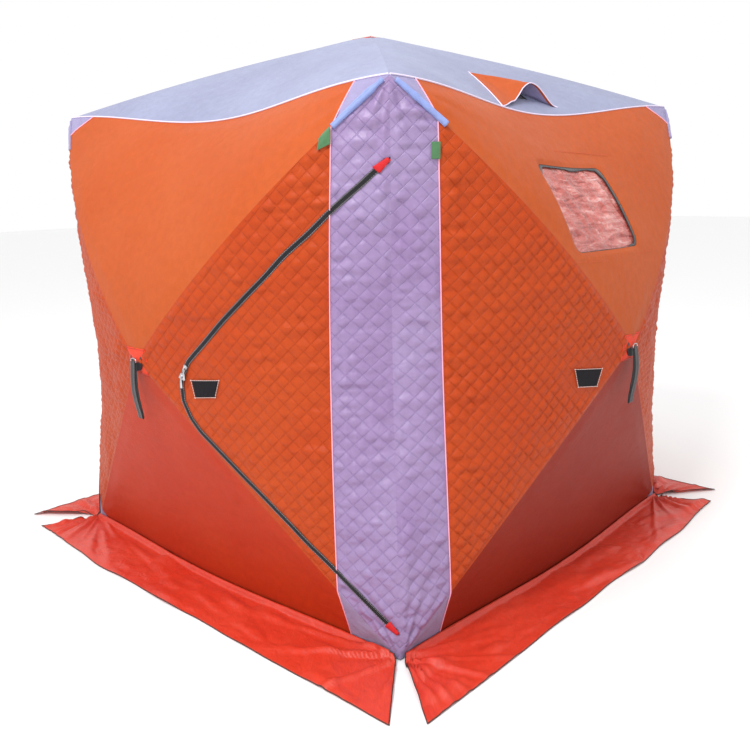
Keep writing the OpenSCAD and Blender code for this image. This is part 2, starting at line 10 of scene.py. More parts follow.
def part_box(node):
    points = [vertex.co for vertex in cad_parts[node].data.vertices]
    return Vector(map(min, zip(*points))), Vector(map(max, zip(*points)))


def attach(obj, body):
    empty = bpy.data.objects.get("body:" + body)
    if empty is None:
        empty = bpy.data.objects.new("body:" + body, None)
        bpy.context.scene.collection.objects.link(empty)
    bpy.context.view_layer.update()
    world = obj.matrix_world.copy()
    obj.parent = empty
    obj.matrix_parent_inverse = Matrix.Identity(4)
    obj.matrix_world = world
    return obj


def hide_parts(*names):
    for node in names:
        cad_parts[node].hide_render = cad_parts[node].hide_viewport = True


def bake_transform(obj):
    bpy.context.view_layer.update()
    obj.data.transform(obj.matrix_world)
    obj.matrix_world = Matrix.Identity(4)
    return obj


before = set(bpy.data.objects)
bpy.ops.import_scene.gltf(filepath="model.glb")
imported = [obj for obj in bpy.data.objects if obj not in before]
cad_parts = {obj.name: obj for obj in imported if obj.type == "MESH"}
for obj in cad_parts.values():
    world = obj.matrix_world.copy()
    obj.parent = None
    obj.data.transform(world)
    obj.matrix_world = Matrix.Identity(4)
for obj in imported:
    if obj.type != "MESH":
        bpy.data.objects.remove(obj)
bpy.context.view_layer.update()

# ---- Sizes in metres, worked out from the frame where a node's box gives them ----

HUB_PATCH_W = 0.112
HUB_PATCH_H = 0.092
PATCH_LIFT = 0.0021         # how far the frame's hub patch stands off the wall
PATCH_LIFT_SEEN = 0.0022    # and the cloth patch that stands for it
HUB_OPEN = 0.045            # share of a face that the hub takes up

# How far the cloth bows and is pulled in between its fixed points
BOW_UPPER = 0.078
BOW_LOWER = 0.004
BOW_ROOF = 0.020
CORNER_PULL = 0.099
EDGE_PULL = 0.060
EDGE_DROP = 0.068
FOOT_BOW = 0.041

ROOF_HALF = -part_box("front_top")[0].x
CORNER_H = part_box("front_top")[1].z
GROUND_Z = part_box("front_left")[0].z
BASE_HALF = (-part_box("front_left")[0].x - ROOF_HALF * GROUND_Z / CORNER_H) / (1 - GROUND_Z / CORNER_H)
HUB_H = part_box("hub_patches")[0].z + HUB_PATCH_H / 2
HUB_HALF = BASE_HALF + (ROOF_HALF - BASE_HALF) * HUB_H / CORNER_H
WALL_BULGE = -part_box("hub_patches")[0].y - PATCH_LIFT - HUB_HALF
ROOF_RISE = ((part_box("roof_front")[1].z - CORNER_H - 4 * BOW_ROOF * HUB_OPEN * (1 - HUB_OPEN))
             / (1 - HUB_OPEN))
UP_H = CORNER_H - HUB_H
DOWN_H = HUB_H - GROUND_Z

# Contrast band: its seam lies at a + b q + c q^2, as a share of the half width
FRONT_BAND = (0.799, 0.035, 0.016)
RIGHT_BAND = (0.838, 0.040, -0.006)

# Door zipper: a line, an arc and a line on the front wall
ZIP_TOP = 0.652
ZIP_LOW = 0.832
ZIP_TURN = 0.171
ZIP_NOSE = 0.191
ZIP_TURN_DROP = 0.101
FLAP_GAP = 0.005
TAPE_W = 0.0085
TOOTH_PITCH = 0.005         # coarser than the real 2 mm, so that the teeth show

WINDOW_W = 0.436
WINDOW_H = 0.298
WINDOW_UP = 0.346
WINDOW_SHIFT = -0.109

# Vent hood on the roof's right panel; its reach is from the roof's middle to its open edge
HOOD_W = 0.430
HOOD_L = 0.240
HOOD_H = 0.075
HOOD_REACH = 0.850
HOOD_SHIFT = -0.045

SKIRT_W = 0.270
SKIRT_SLIT = 0.985          # share of the wall's half width where the skirt's corner slit starts
QUILT = 0.035               # side of a quilted square
STITCH = 0.008              # stitch pitch, coarser than the real 3 mm, so that it shows
THREAD_L = 0.0055           # length of a stitch that shows
CLOTH_THREAD = (THREAD_L, 0.0016, 0.0010)
PATCH_THREAD = (THREAD_L, 0.0018, 0.0012)
HUB_THREAD = (THREAD_L, 0.0016, 0.0012)
TAPE_THREAD = (THREAD_L, 0.0014, 0.0010)
PIPING_R = 0.0022
CLOTH_T = 0.0016            # thickness of webbing, patches and the hood's cloth

# Corners of the black patches beside the zipper and on the right wall
FLAP_PATCH = ((0.274, -0.112), (0.360, -0.102), (0.384, -0.040), (0.268, -0.050))
SIDE_PATCH = ((-0.283, -0.116), (-0.186, -0.128), (-0.172, -0.064), (-0.309, -0.048))

FRONT, RIGHT, BACK, LEFT = range(4)
TO_SIDE = ((1, -1), (1, 1))
TO_TOP = ((1, 1), (-1, 1))
TO_LEFT = ((-1, 1), (-1, -1))
TO_FOOT = ((-1, -1), (1, -1))

# Rows of a facet's grid from the hub to the edge
FINE_ROWS = 150
FAR_ROWS = 120
PLAIN_ROWS = 96
ROOF_ROWS = 84


# ---- Small helpers ----

def mix(a, b, t):
    return a + (b - a) * t


def smooth(x):
    x = np.clip(x, 0, 1)
    return x * x * (3 - 2 * x)


def slack(t):
    """Cloth stretched between two fixed ends: 1 half way, 0 at both ends."""
    return np.cos(np.pi / 2 * np.clip(t, -1, 1)) ** 2


def ripple(x, y, seed):
    """Smooth random field, about -1 to 1, with features about one unit wide."""
    table = np.random.default_rng(seed).uniform(-1, 1, (128, 128))
    x, y = np.broadcast_arrays(np.asarray(x, float), np.asarray(y, float))
    i, j = np.floor(x).astype(int), np.floor(y).astype(int)
    s, t = smooth(x - i), smooth(y - j)
    low = mix(table[i % 128, j % 128], table[(i + 1) % 128, j % 128], s)
    high = mix(table[i % 128, (j + 1) % 128], table[(i + 1) % 128, (j + 1) % 128], s)
    return mix(low, high, t)


def lengths(path):
    """Distance of each of a path's points from its start."""
    return np.concatenate([[0], np.cumsum(np.linalg.norm(np.diff(path, axis=0), axis=1))])


def strip_faces(rows, columns, closed):
    """Quads between neighbouring rows and columns of points; closed joins the last column to the first."""
    i, j = np.meshgrid(np.arange(rows - 1), np.arange(columns if closed else columns - 1), indexing="ij")
    a, b = i * columns + j, i * columns + (j + 1) % columns
    return np.stack([a, a + columns, b + columns, b], -1).reshape(-1, 4)


def unit(v):
    return v / np.maximum(np.linalg.norm(v, axis=-1, keepdims=True), 1e-12)


def turned(points, k):
    """Points turned k quarter turns about the vertical, from the front to another side."""
    x, y, z = np.moveaxis(points, -1, 0)
    for _ in range(k):
        x, y = -y, x
    return np.stack([x, y, z], -1)


# ---- Surfaces: p runs across a face and q up it, from -1 to 1, with the hub at 0 ----

def shares(p, q):
    """Distance from the hub, whether the point lies on a side facet, and its place across the facet."""
    u = np.maximum(np.abs(p), np.abs(q))
    side = np.abs(p) >= np.abs(q)
    return u, side, np.where(side, q, p) / np.maximum(u, 1e-9)


def wall(p, q, depth=0.0):
    """Points of the front wall, depth below its outer surface."""
    p, q = np.broadcast_arrays(np.asarray(p, float), np.asarray(q, float))
    u, side, t = shares(p, q)
    height = CORNER_H - depth
    z = HUB_H + q * np.where(q >= 0, height - HUB_H, DOWN_H)
    half = BASE_HALF - depth + (ROOF_HALF - BASE_HALF) * z / height
    bow = np.where(side, mix(BOW_LOWER, BOW_UPPER, (t + 1) / 2), np.where(q > 0, BOW_UPPER, BOW_LOWER))
    corner = np.where(side, CORNER_PULL / math.sqrt(2) * slack(t) * u ** 4, 0)
    top = np.where(~side & (q > 0), slack(t) * u ** 3, 0)
    foot = np.where(~side & (q <= 0), slack(t) * u ** 3, 0)
    x = p * half - np.sign(p) * corner
    y = -half - WALL_BULGE * (1 - u) - 4 * bow * u * (1 - u) + corner + EDGE_PULL * top - FOOT_BOW * foot
    return np.stack([x, y, z - EDGE_DROP * top], -1)


def roof(p, q, depth=0.0):
    """Points of the roof, depth below its outer surface."""
    p, q = np.broadcast_arrays(np.asarray(p, float), np.asarray(q, float))
    u, side, t = shares(p, q)
    pull = slack(t) * u ** 3
    x = p * (ROOF_HALF - depth) - np.where(side, np.sign(p) * EDGE_PULL * pull, 0)
    y = q * (ROOF_HALF - depth) - np.where(side, 0, np.sign(q) * EDGE_PULL * pull)
    z = CORNER_H - depth + ROOF_RISE * (1 - u) + 4 * BOW_ROOF * u * (1 - u) - EDGE_DROP * pull
    return np.stack([x, y, z], -1)


def outward(surface, p, q):
    """Unit normals of a surface, pointing out of the shelter."""
    e = 1e-3
    across = surface(p + e, q) - surface(p - e, q)
    up = surface(p, q + e) - surface(p, q - e)
    return unit(np.cross(across, up))


def raised(surface, p, q, lift):
    """Points that stand lift proud of a surface."""
    return surface(p, q) + outward(surface, p, q) * np.asarray(lift)[..., None]


# ---- Facet grids and cuts ----

def facet(corners, rows):
    """Triangle grid from the hub to the edge between two corners of a face."""
    a, b = np.array(corners, float)
    row = np.repeat(np.arange(rows + 1), 2 * np.arange(rows + 1) + 1)
    place = np.arange(len(row)) - row ** 2
    share = np.where(row > 0, place / np.maximum(2 * row, 1), 0.5)[:, None]
    points = (row / rows)[:, None] * (a * (1 - share) + b * share)
    faces = []
    for i in range(1, rows + 1):
        for half in (0, 1):
            outer = i * i + half * i + np.arange(i)
            inner = (i - 1) ** 2 + half * (i - 1) + np.arange(i)
            faces.append(np.stack([inner, outer, outer + 1], 1))
            faces.append(np.stack([inner[:-1], outer[1:], inner[1:]], 1))
    return points, np.concatenate(faces)


def cut(grid, field):
    """The part of a grid where field(p, q) is at least 0, cut along field = 0."""
    points, faces = grid
    value = field(points[:, 0], points[:, 1])
    inside = value >= 0
    count = inside[faces].sum(1)
    kept = [faces[count == 3]]
    for wanted in (1, 2):
        part = faces[count == wanted]
        if not len(part):
            continue
        odd = np.argmax(inside[part] == (wanted == 1), axis=1)
        a, b, c = (part[np.arange(len(part)), (odd + step) % 3] for step in range(3))
        ends = np.sort(np.stack([np.concatenate([a, a]), np.concatenate([b, c])], 1), axis=1)
        edges, back = np.unique(ends, axis=0, return_inverse=True)
        back = back.ravel() + len(points)
        low, high = points[edges[:, 0]], points[edges[:, 1]]
        rising = inside[edges[:, 0]]
        near, far = np.zeros(len(edges)), np.ones(len(edges))
        for _ in range(30):
            middle = (near + far) / 2
            at = mix(low, high, middle[:, None])
            same = (field(at[:, 0], at[:, 1]) >= 0) == rising
            near, far = np.where(same, middle, near), np.where(same, far, middle)
        points = np.concatenate([points, mix(low, high, ((near + far) / 2)[:, None])])
        inside = np.concatenate([inside, np.ones(len(edges), bool)])
        ab, ac = back[:len(a)], back[len(a):]
        if wanted == 1:
            kept.append(np.stack([a, ab, ac], 1))
        else:
            kept.append(np.stack([ab, b, c], 1))
            kept.append(np.stack([ab, c, ac], 1))
    faces = np.concatenate(kept)
    used, faces = np.unique(faces, return_inverse=True)
    return points[used], faces.reshape(-1, 3)


def joined(parts):
    """Several (points, faces, uv) parts as one."""
    start, points, faces, uvs = 0, [], [], []
    for part_points, part_faces, part_uv in parts:
        points.append(part_points)
        uvs.append(part_uv)
        faces += [[i + start for i in face] for face in part_faces]
        start += len(part_points)
    return np.concatenate(points), faces, np.concatenate(uvs)


# ---- Pieces ----

def piece(name, parts, material, slot, body="shelter", stands_for=()):
    """A mesh from (points, faces, uv) parts, smooth, with its UV map in metres."""
    points, faces, uv = joined(parts)
    mesh = bpy.data.meshes.new(name)
    mesh.from_pydata(points.tolist(), [], faces)
    layer = mesh.uv_layers.new(name="cloth")
    corner = np.zeros(len(mesh.loops), int)
    mesh.loops.foreach_get("vertex_index", corner)
    layer.data.foreach_set("uv", uv[corner].astype(np.float32).ravel())
    mesh.materials.append(material)
    mesh.shade_smooth()
    made = placed(name, mesh, slot, body)
    if stands_for:
        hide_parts(*stands_for)
    return made


def placed(name, mesh, slot, body):
    """An object of a mesh, on its body; the door's pieces are left without one."""
    made = bpy.data.objects.new(name, mesh)
    bpy.context.scene.collection.objects.link(made)
    if body != "door":
        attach(made, body)
    return made


def grid_part(points):
    """Points, quads and UV in metres of a grid of points; rows run down, columns across."""
    n, m = points.shape[:2]
    down, across = lengths(points[:, m // 2]), lengths(points[n // 2])
    uv = np.stack(np.broadcast_arrays(across[None, :], down[:, None]), -1)
    return points.reshape(-1, 3), strip_faces(n, m, False), uv.reshape(-1, 2)


def face_out(part, outside):
    """The part with its faces turned to look along outside."""
    points, faces, uv = part
    a, b, c = (points[faces[:, i]] for i in range(3))
    if (np.cross(b - a, c - a) @ outside).sum() < 0:
        faces = faces[:, ::-1]
    return points, faces, uv


def tube_part(path, radius, sides=16):
    """A closed tube along a path; radius may change along it."""
    along = unit(np.gradient(path, axis=0))
    across = unit(np.cross(along, [0.2, 0.3, 1.0]))
    other = np.cross(along, across)
    t = np.linspace(0, 2 * np.pi, sides + 1)[:-1]
    radius = np.broadcast_to(radius, len(path))
    ring = (across[:, None, :] * np.cos(t)[None, :, None] + other[:, None, :] * np.sin(t)[None, :, None])
    points = path[:, None, :] + ring * radius[:, None, None]
    n = len(path)
    faces = strip_faces(n, sides, True)[:, ::-1].tolist()
    faces.append(list(range(sides))[::-1])
    faces.append([(n - 1) * sides + k for k in range(sides)])
    uv = np.stack(np.broadcast_arrays(lengths(path)[:, None], (t * radius.mean())[None, :]), -1)
    return points.reshape(-1, 3), faces, uv.reshape(-1, 2)


def block(centre, x, y, z, size, taper=1.0):
    """A block along three directions, its far end wider by taper."""
    corner = np.array([[i, j, k] for i in (-1, 1) for j in (-1, 1) for k in (-1, 1)], float)
    wide = np.where(corner[:, 0] > 0, taper, 1.0)
    points = (centre + np.outer(corner[:, 0] * size[0] / 2, x)
              + np.outer(corner[:, 1] * wide * size[1] / 2, y) + np.outer(corner[:, 2] * size[2] / 2, z))
    faces = np.array([[0, 1, 3, 2], [4, 6, 7, 5], [0, 4, 5, 1], [2, 3, 7, 6], [0, 2, 6, 4], [1, 5, 7, 3]])
    if np.dot(np.cross(x, y), z) < 0:
        faces = faces[:, ::-1]
    return points, faces, points[:, [0, 2]]


def thicken(made, depth, offset=-1):
    """Gives a sheet its thickness, inwards unless offset says otherwise."""
    solid = made.modifiers.new("thickness", "SOLIDIFY")
    solid.thickness = depth
    solid.offset = offset


def soften(made, width, segments=2):
    """Bevelled edges."""
    bevel = made.modifiers.new("soft_edges", "BEVEL")
    bevel.width = width
    bevel.segments = segments
    bevel.limit_method = "ANGLE"


def panel_frame(corners, surface):
    """The hub point and the two directions, across and up, of a facet's mean plane."""
    hub = surface(0.0, 0.0)
    a, b = (surface(*c) - hub for c in corners)
    normal = unit(np.cross(a, b))
    up = unit(np.array([0, 0, 1]) - normal[2] * normal)
    return hub, np.cross(up, normal), up


def cloth_part(grid, corners, surface=wall, turn=FRONT, relief=None, lift=0.0):
    """Points, faces and UV of a cut grid laid on its surface, puffed out by relief(p, q, u, v)."""
    points, faces = grid
    p, q = points.T
    hub, across, up = panel_frame(corners, surface)
    flat = surface(p, q)
    uv = np.stack([(flat - hub) @ across, (flat - hub) @ up], -1)
    height = np.full(len(p), lift)
    if relief:
        height = height + relief(p, q, uv[:, 0], uv[:, 1])
    return turned(flat + outward(surface, p, q) * height[:, None], turn), faces, uv


def flat_area(parts):
    """Area of the parts' cut, measured in the UV plane."""
    total = 0.0
    for _, faces, uv in parts:
        a, b, c = (uv[np.asarray(faces)[:, i]] for i in range(3))
        total += 0.5 * np.abs((b - a)[:, 0] * (c - a)[:, 1] - (b - a)[:, 1] * (c - a)[:, 0]).sum()
    return float(total)


def declare_cloth(parts):
    """Works out a sheet's width and length from the rectangle that its UV map fills and its cut area; nothing
    is kept.
    """
    uv = np.concatenate([part[2] for part in parts])
    width, length = (float(x) for x in uv.max(0) - uv.min(0))
    area = flat_area(parts)
    width = max(min(width, area / (0.5 * length)), area / length)


# ---- Fields that cut the panels and hold the cloth down ----

def band_line(q, band):
    a, b, c = band
    return a + b * q + c * q * q


def beside_band(band, side=1):
    """Positive on the main panel, negative in the contrast band on that side."""
    return lambda p, q: band_line(q, band) - side * p


CAP_EDGE = 0.81             # where a corner cap's seam meets the top edge, as a share
CAP_FOOT = 0.77             # and the corner edge
CAP_BOW = 0.03              # how far its seam bows
FOOT_EDGE = 0.905           # where a foot patch's seam meets the bottom edge
FOOT_RISE = 0.865           # and the corner edge


def cap_seam(p):
    """Height of a corner cap's seam at p, as a share."""
    middle, half = (1 + CAP_EDGE) / 2, (1 - CAP_EDGE) / 2
    return 1 - (p - CAP_EDGE) / (1 - CAP_EDGE) * (1 - CAP_FOOT) + CAP_BOW * slack((p - middle) / half)


def below_cap(side):
    """Positive below the seam of a corner cap."""
    return lambda p, q: cap_seam(side * p) - q


def above_foot(side):
    """Positive above the seam of the small patch at a corner's foot."""
    return lambda p, q: 1 - ((side * p - FOOT_EDGE) / (1 - FOOT_EDGE) * (1 - FOOT_RISE) - q)


def negative(field):
    return lambda p, q: -field(p, q)


ZIP_R = ZIP_TURN / ROOF_HALF
ZIP_CENTRE = np.array([(ZIP_NOSE + ZIP_TURN) / ROOF_HALF, -ZIP_TURN_DROP / DOWN_H])
ZIP_A = np.array([1, ZIP_TOP / UP_H])
ZIP_B = np.array([1, -ZIP_LOW / DOWN_H])
GAP = FLAP_GAP / 2 / ROOF_HALF


def tangent_angle(end, turn):
    """Direction from the arc's centre to the tangent point of a line that ends at end."""
    v = end - ZIP_CENTRE
    return math.atan2(v[1], v[0]) + turn * math.acos(ZIP_R / math.hypot(*v))


ANGLE_A = tangent_angle(ZIP_A, 1)
ANGLE_B = tangent_angle(ZIP_B, -1) + 2 * math.pi


def direction(angle):
    return np.stack([np.cos(angle), np.sin(angle)], -1)


def wave(s):
    """How far the sewn tape strays from its line, none at its ends."""
    return 0.0022 / ROOF_HALF * ripple(s * 9, 0, 31) * smooth(s / 0.1) * smooth((3 - s) / 0.1)


def zip_point(s, off):
    """A point off outwards from the zipper; s runs 0 to 1 above the turn, to 2 on it, to 3 below."""
    s, off = np.broadcast_arrays(np.asarray(s, float), np.asarray(off, float))
    angle = mix(ANGLE_A, ANGLE_B, np.clip(s - 1, 0, 1))
    turn = ZIP_CENTRE + ZIP_R * direction(angle)
    upper = mix(ZIP_A, turn, np.clip(s, 0, 1)[..., None])
    lower = mix(turn, ZIP_B, np.clip(s - 2, 0, 1)[..., None])
    on_line = np.where((s < 1)[..., None], upper, lower)
    return on_line + (off + wave(s))[..., None] * direction(angle)


def outside_zip(p, q):
    """Signed distance from the zipper, negative on the door flap."""
    v = np.stack([p, q], -1) - ZIP_CENTRE
    angle = np.arctan2(v[..., 1], v[..., 0]) % (2 * math.pi)
    lines = np.maximum(v @ direction(ANGLE_A), v @ direction(ANGLE_B)) - ZIP_R
    return np.where((angle > ANGLE_A) & (angle < ANGLE_B), np.linalg.norm(v, axis=-1) - ZIP_R, lines)


WINDOW_P = ((WINDOW_SHIFT - WINDOW_W / 2) / ROOF_HALF, (WINDOW_SHIFT + WINDOW_W / 2) / ROOF_HALF)
WINDOW_Q = (WINDOW_UP / UP_H, (WINDOW_UP + WINDOW_H) / UP_H)
WINDOW_CENTRE = np.array([sum(WINDOW_P), sum(WINDOW_Q)]) / 2
WINDOW_ROUND = 0.035
WINDOW_SLANT = 0.02         # how far its upper corners lean
FILM_MARGIN = 0.012         # how far the film reaches behind the cloth, as a share
FILM_LEAN = 0.95            # direction of the film's folds, in radians


def outside_window(p, q):
    """Signed distance from the window's rounded outline, as a share of the half width."""
    half = np.array([WINDOW_P[1] - WINDOW_P[0], WINDOW_Q[1] - WINDOW_Q[0]]) / 2 - WINDOW_ROUND
    slant = WINDOW_SLANT * (q - WINDOW_CENTRE[1]) / half[1]
    beyond = np.abs(np.stack([p + slant - WINDOW_CENTRE[0], q - WINDOW_CENTRE[1]], -1)) - half
    outer = np.linalg.norm(np.maximum(beyond, 0), axis=-1)
    return outer + np.minimum(beyond.max(-1), 0) - WINDOW_ROUND


VENT_P = ((HOOD_REACH - HOOD_L) / ROOF_HALF + 0.11, HOOD_REACH / ROOF_HALF - 0.06)
VENT_Q = (HOOD_SHIFT / ROOF_HALF - 0.09, HOOD_SHIFT / ROOF_HALF + 0.09)


def outside_vent(p, q):
    """Positive outside the opening under the vent hood; the roof's right panel, seen as the front one."""
    along, across = -q, p
    return np.maximum(np.maximum(VENT_P[0] - along, along - VENT_P[1]),
                      np.maximum(VENT_Q[0] - across, across - VENT_Q[1]))


# ---- Relief: how far the cloth stands out between its seams ----

def held_down(p, q, reach=0.02):
    """0 on the facet's edges and poles, 1 further than reach from them."""
    u = np.maximum(np.abs(p), np.abs(q))
    crease = np.abs(np.abs(p) - np.abs(q)) * ROOF_HALF / math.sqrt(2)
    return smooth((1 - u) * ROOF_HALF / reach) * smooth(crease / reach)


def beside(field, reach=0.018):
    """0 on a seam, 1 further than reach from it."""
    return lambda p, q: smooth(np.abs(field(p, q)) * ROOF_HALF / reach)


def clear_of(corners):
    """0 under a patch sewn on at these corners, 1 well outside it."""
    middle = np.mean(corners, axis=0)
    return lambda p, q: smooth((np.hypot((p - middle[0]) / 0.11, (q - middle[1]) / 0.08) - 0.6) / 0.8)


def quilting(u, v, seed, depth=0.0055):
    """Puffed squares between two crossing sets of stitch lines, crumpled a little."""
    a = (u - v) / math.sqrt(2) / QUILT
    b = (u + v) / math.sqrt(2) / QUILT
    puff = np.abs(np.sin(np.pi * a) * np.sin(np.pi * b)) ** 0.6
    uneven = 0.75 + 0.35 * ripple(a / 1.7, b / 1.7, seed)
    return depth * puff * uneven


def puckers(distance, along, seed, reach=0.11, depth=0.0115, pitch=0.021):
    """Short folds square to a seam, fading with the distance from it."""
    near = np.exp(-np.abs(distance) / reach) * (0.5 + 0.5 * ripple(along / 0.11, distance / 0.2, seed + 1))
    return depth * near * ripple(along / pitch, distance / 0.06 + along / 0.1, seed)


def crumple(u, v, seed, depth=0.002, size=0.04, lean=0.0):
    """Irregular small folds, drawn out across the cloth and leaning by an angle."""
    c, s = math.cos(lean), math.sin(lean)
    x, y = c * u + s * v, c * v - s * u
    bent = 0.5 * ripple(x / (4 * size), y / (4 * size), seed + 5)
    folds = ripple(x / (2.6 * size) + bent, y / size + bent, seed)
    fine = ripple(x / (1.3 * size), y / (0.45 * size), seed + 3)
    return depth * (folds + 0.45 * fine)


def swell(u, v, seed, depth=0.005):
    """Broad, soft hollows and bulges of cloth under tension."""
    return depth * ripple(u / 0.33, v / 0.27, seed)


def rays(u, v, foot, seed, depth=0.004, reach=0.35, count=9):
    """Folds that run out of a point where the cloth is pulled."""
    x, y = u - foot[0], v - foot[1]
    distance = np.hypot(x, y)
    angle = np.arctan2(y, x)
    fade = np.exp(-distance / reach) * smooth(distance / 0.04)
    return depth * fade * ripple(angle * count, distance / 0.5, seed)


def corner_uv(corners, corner, surface=wall):
    """A corner's place in a facet's UV plane."""
    hub, across, up = panel_frame(corners, surface)
    point = surface(*corner) - hub
    return float(point @ across), float(point @ up)


def plain_relief(corners, seed, holds=(), surface=wall, depth=1.0):
    """Smooth cloth: broad swells, folds out of the two corners, and faint creases."""
    ends = [corner_uv(corners, c, surface) for c in corners]

    def relief(p, q, u, v):
        height = 0.004 + swell(u, v, seed) + crumple(u, v, seed + 20, 0.0007, 0.05)
        for i, end in enumerate(ends):
            height = height + rays(u, v, end, seed + 30 + i)
        for hold in holds:
            height = height * hold(p, q)
        return depth * height * held_down(p, q, 0.06)
    return relief


def quilt_relief(corners, seed, seams=(), holds=(), crushed=0.0032, puff=0.0080, pull=0.004):
    """Quilted cloth: puffed squares, with folds square to its seams."""
    ends = [corner_uv(corners, c) for c in corners]

    def relief(p, q, u, v):
        height = quilting(u, v, seed, puff) + swell(u, v, seed + 10, 0.003)
        height = height + crumple(u, v, seed + 20, crushed, 0.03)
        for i, end in enumerate(ends):
            height = height + rays(u, v, end, seed + 30 + i, pull)
        for i, (seam, along) in enumerate(seams):
            distance = seam(p, q) * ROOF_HALF
            height = height + puckers(distance, v if along == "up" else u, seed + 40 + i)
        for hold in holds:
            height = height * hold(p, q)
        return height * held_down(p, q)
    return relief


# ---- Materials ----

def colour(text, alpha=1.0):
    """An sRGB hex value as linear RGBA."""
    values = [int(text[i:i + 2], 16) / 255 for i in (1, 3, 5)]
    linear = [c / 12.92 if c <= 0.04045 else ((c + 0.055) / 1.055) ** 2.4 for c in values]
    return (*linear, alpha)


def add(tree, kind, inputs=None, **settings):
    """Adds a node, sets it up, and gives its inputs values or links."""
    made = tree.nodes.new(kind)
    for key, value in settings.items():
        setattr(made, key, value)
    for key, value in (inputs or {}).items():
        if isinstance(value, bpy.types.NodeSocket):
            tree.links.new(value, made.inputs[key])
        else:
            made.inputs[key].default_value = value
    return made


def new_material(name):
    """A material with an empty Principled shader; returns it, its tree and the shader."""
    material = bpy.data.materials.new(name)
    material.use_nodes = True
    tree = material.node_tree
    tree.nodes.clear()
    shader = add(tree, "ShaderNodeBsdfPrincipled")
    add(tree, "ShaderNodeOutputMaterial", {"Surface": shader.outputs[0]})
    return material, tree, shader


def weave_height(tree, place, thread):
    """Crossing threads as a height from 0 to 1; a wave's period is 2 pi / 20 of its scale."""
    scale = math.pi / 10 / thread
    warp = add(tree, "ShaderNodeTexWave", {"Vector": place, "Scale": scale}, bands_direction="X")
    weft = add(tree, "ShaderNodeTexWave", {"Vector": place, "Scale": scale}, bands_direction="Y")
    return add(tree, "ShaderNodeMath", {0: warp.outputs["Fac"], 1: weft.outputs["Fac"]},
               operation="MULTIPLY").outputs[0]


def stitch_lines(tree, place):
    """1 on the quilting's stitch lines, 0 away from them."""
    squares = add(tree, "ShaderNodeMapping",
                  {"Vector": place, "Rotation": (0, 0, math.pi / 4), "Scale": (1 / QUILT,) * 3})
    split = add(tree, "ShaderNodeSeparateXYZ", {0: squares.outputs[0]})
    lines = []
    for axis in (0, 1):
        part = add(tree, "ShaderNodeMath", {0: split.outputs[axis]}, operation="FRACT")
        part = add(tree, "ShaderNodeMath", {0: part.outputs[0], 1: 0.5}, operation="SUBTRACT")
        lines.append(add(tree, "ShaderNodeMath", {0: part.outputs[0]}, operation="ABSOLUTE").outputs[0])
    nearest = add(tree, "ShaderNodeMath", {0: lines[0], 1: lines[1]}, operation="MAXIMUM")
    return add(tree, "ShaderNodeMapRange",
               {"Value": nearest.outputs[0], "From Min": 0.43, "From Max": 0.495},
               interpolation_type="SMOOTHSTEP").outputs[0]


def cloth(name, shade, faded, roughness=0.5, sheen=0.01, thread=0.003, crease=0.0006, quilted=False,
          groove_shade_amount=0.4, specular=0.2):
    """Coated polyester cloth: its colour drifts a little, and fine creases and threads catch the light."""
    material, tree, shader = new_material(name)
    place = add(tree, "ShaderNodeUVMap", uv_map="cloth").outputs[0]
    drift = add(tree, "ShaderNodeTexNoise", {"Vector": place, "Scale": 2.6, "Detail": 3.0})
    mottle = add(tree, "ShaderNodeTexNoise",
                 {"Vector": place, "Scale": 34.0, "Detail": 5.0, "Roughness": 0.65})
    drifted = add(tree, "ShaderNodeMapRange",
                  {"Value": drift.outputs["Fac"], "From Min": 0.35, "From Max": 0.68})
    base = add(tree, "ShaderNodeMix", {0: drifted.outputs[0], 6: colour(shade), 7: colour(faded)},
               data_type="RGBA").outputs[2]
    shade_by = add(tree, "ShaderNodeMapRange",
                   {"Value": mottle.outputs["Fac"], "To Min": 0.80, "To Max": 1.16})
    tone = add(tree, "ShaderNodeHueSaturation", {"Color": base, "Value": shade_by.outputs[0]}).outputs[0]
    folds = add(tree, "ShaderNodeTexNoise",
                {"Vector": place, "Scale": 22.0, "Detail": 7.0, "Roughness": 0.62, "Distortion": 0.8})
    height = add(tree, "ShaderNodeMath", {0: folds.outputs["Fac"], 1: crease * 8},
                 operation="MULTIPLY").outputs[0]
    threads = add(tree, "ShaderNodeMath", {0: weave_height(tree, place, thread), 1: thread * 0.12},
                  operation="MULTIPLY").outputs[0]
    height = add(tree, "ShaderNodeMath", {0: height, 1: threads}, operation="ADD").outputs[0]
    if quilted:
        lines = stitch_lines(tree, place)
        # Painted shade in the quilting's grooves: the stitch lines are mixed towards the darker quilted
        # colour
        dark = add(tree, "ShaderNodeMath", {0: lines, 1: groove_shade_amount}, operation="MULTIPLY").outputs[0]
        tone = add(tree, "ShaderNodeMix", {0: dark, 6: tone, 7: colour(quilted)}, data_type="RGBA").outputs[2]
        sunk = add(tree, "ShaderNodeMath", {0: lines, 1: -0.0016}, operation="MULTIPLY").outputs[0]
        height = add(tree, "ShaderNodeMath", {0: height, 1: sunk}, operation="ADD").outputs[0]
    bump = add(tree, "ShaderNodeBump", {"Height": height, "Strength": 0.8, "Distance": 1.0})
    gloss = add(tree, "ShaderNodeMapRange",
                {"Value": folds.outputs["Fac"], "To Min": roughness - 0.08, "To Max": roughness + 0.10})
    for key, value in {"Base Color": tone, "Roughness": gloss.outputs[0], "Normal": bump.outputs[0]}.items():
        tree.links.new(value, shader.inputs[key])
    shader.inputs["Specular IOR Level"].default_value = specular
    shader.inputs["Sheen Weight"].default_value = sheen
    shader.inputs["Sheen Roughness"].default_value = 0.5
    return material


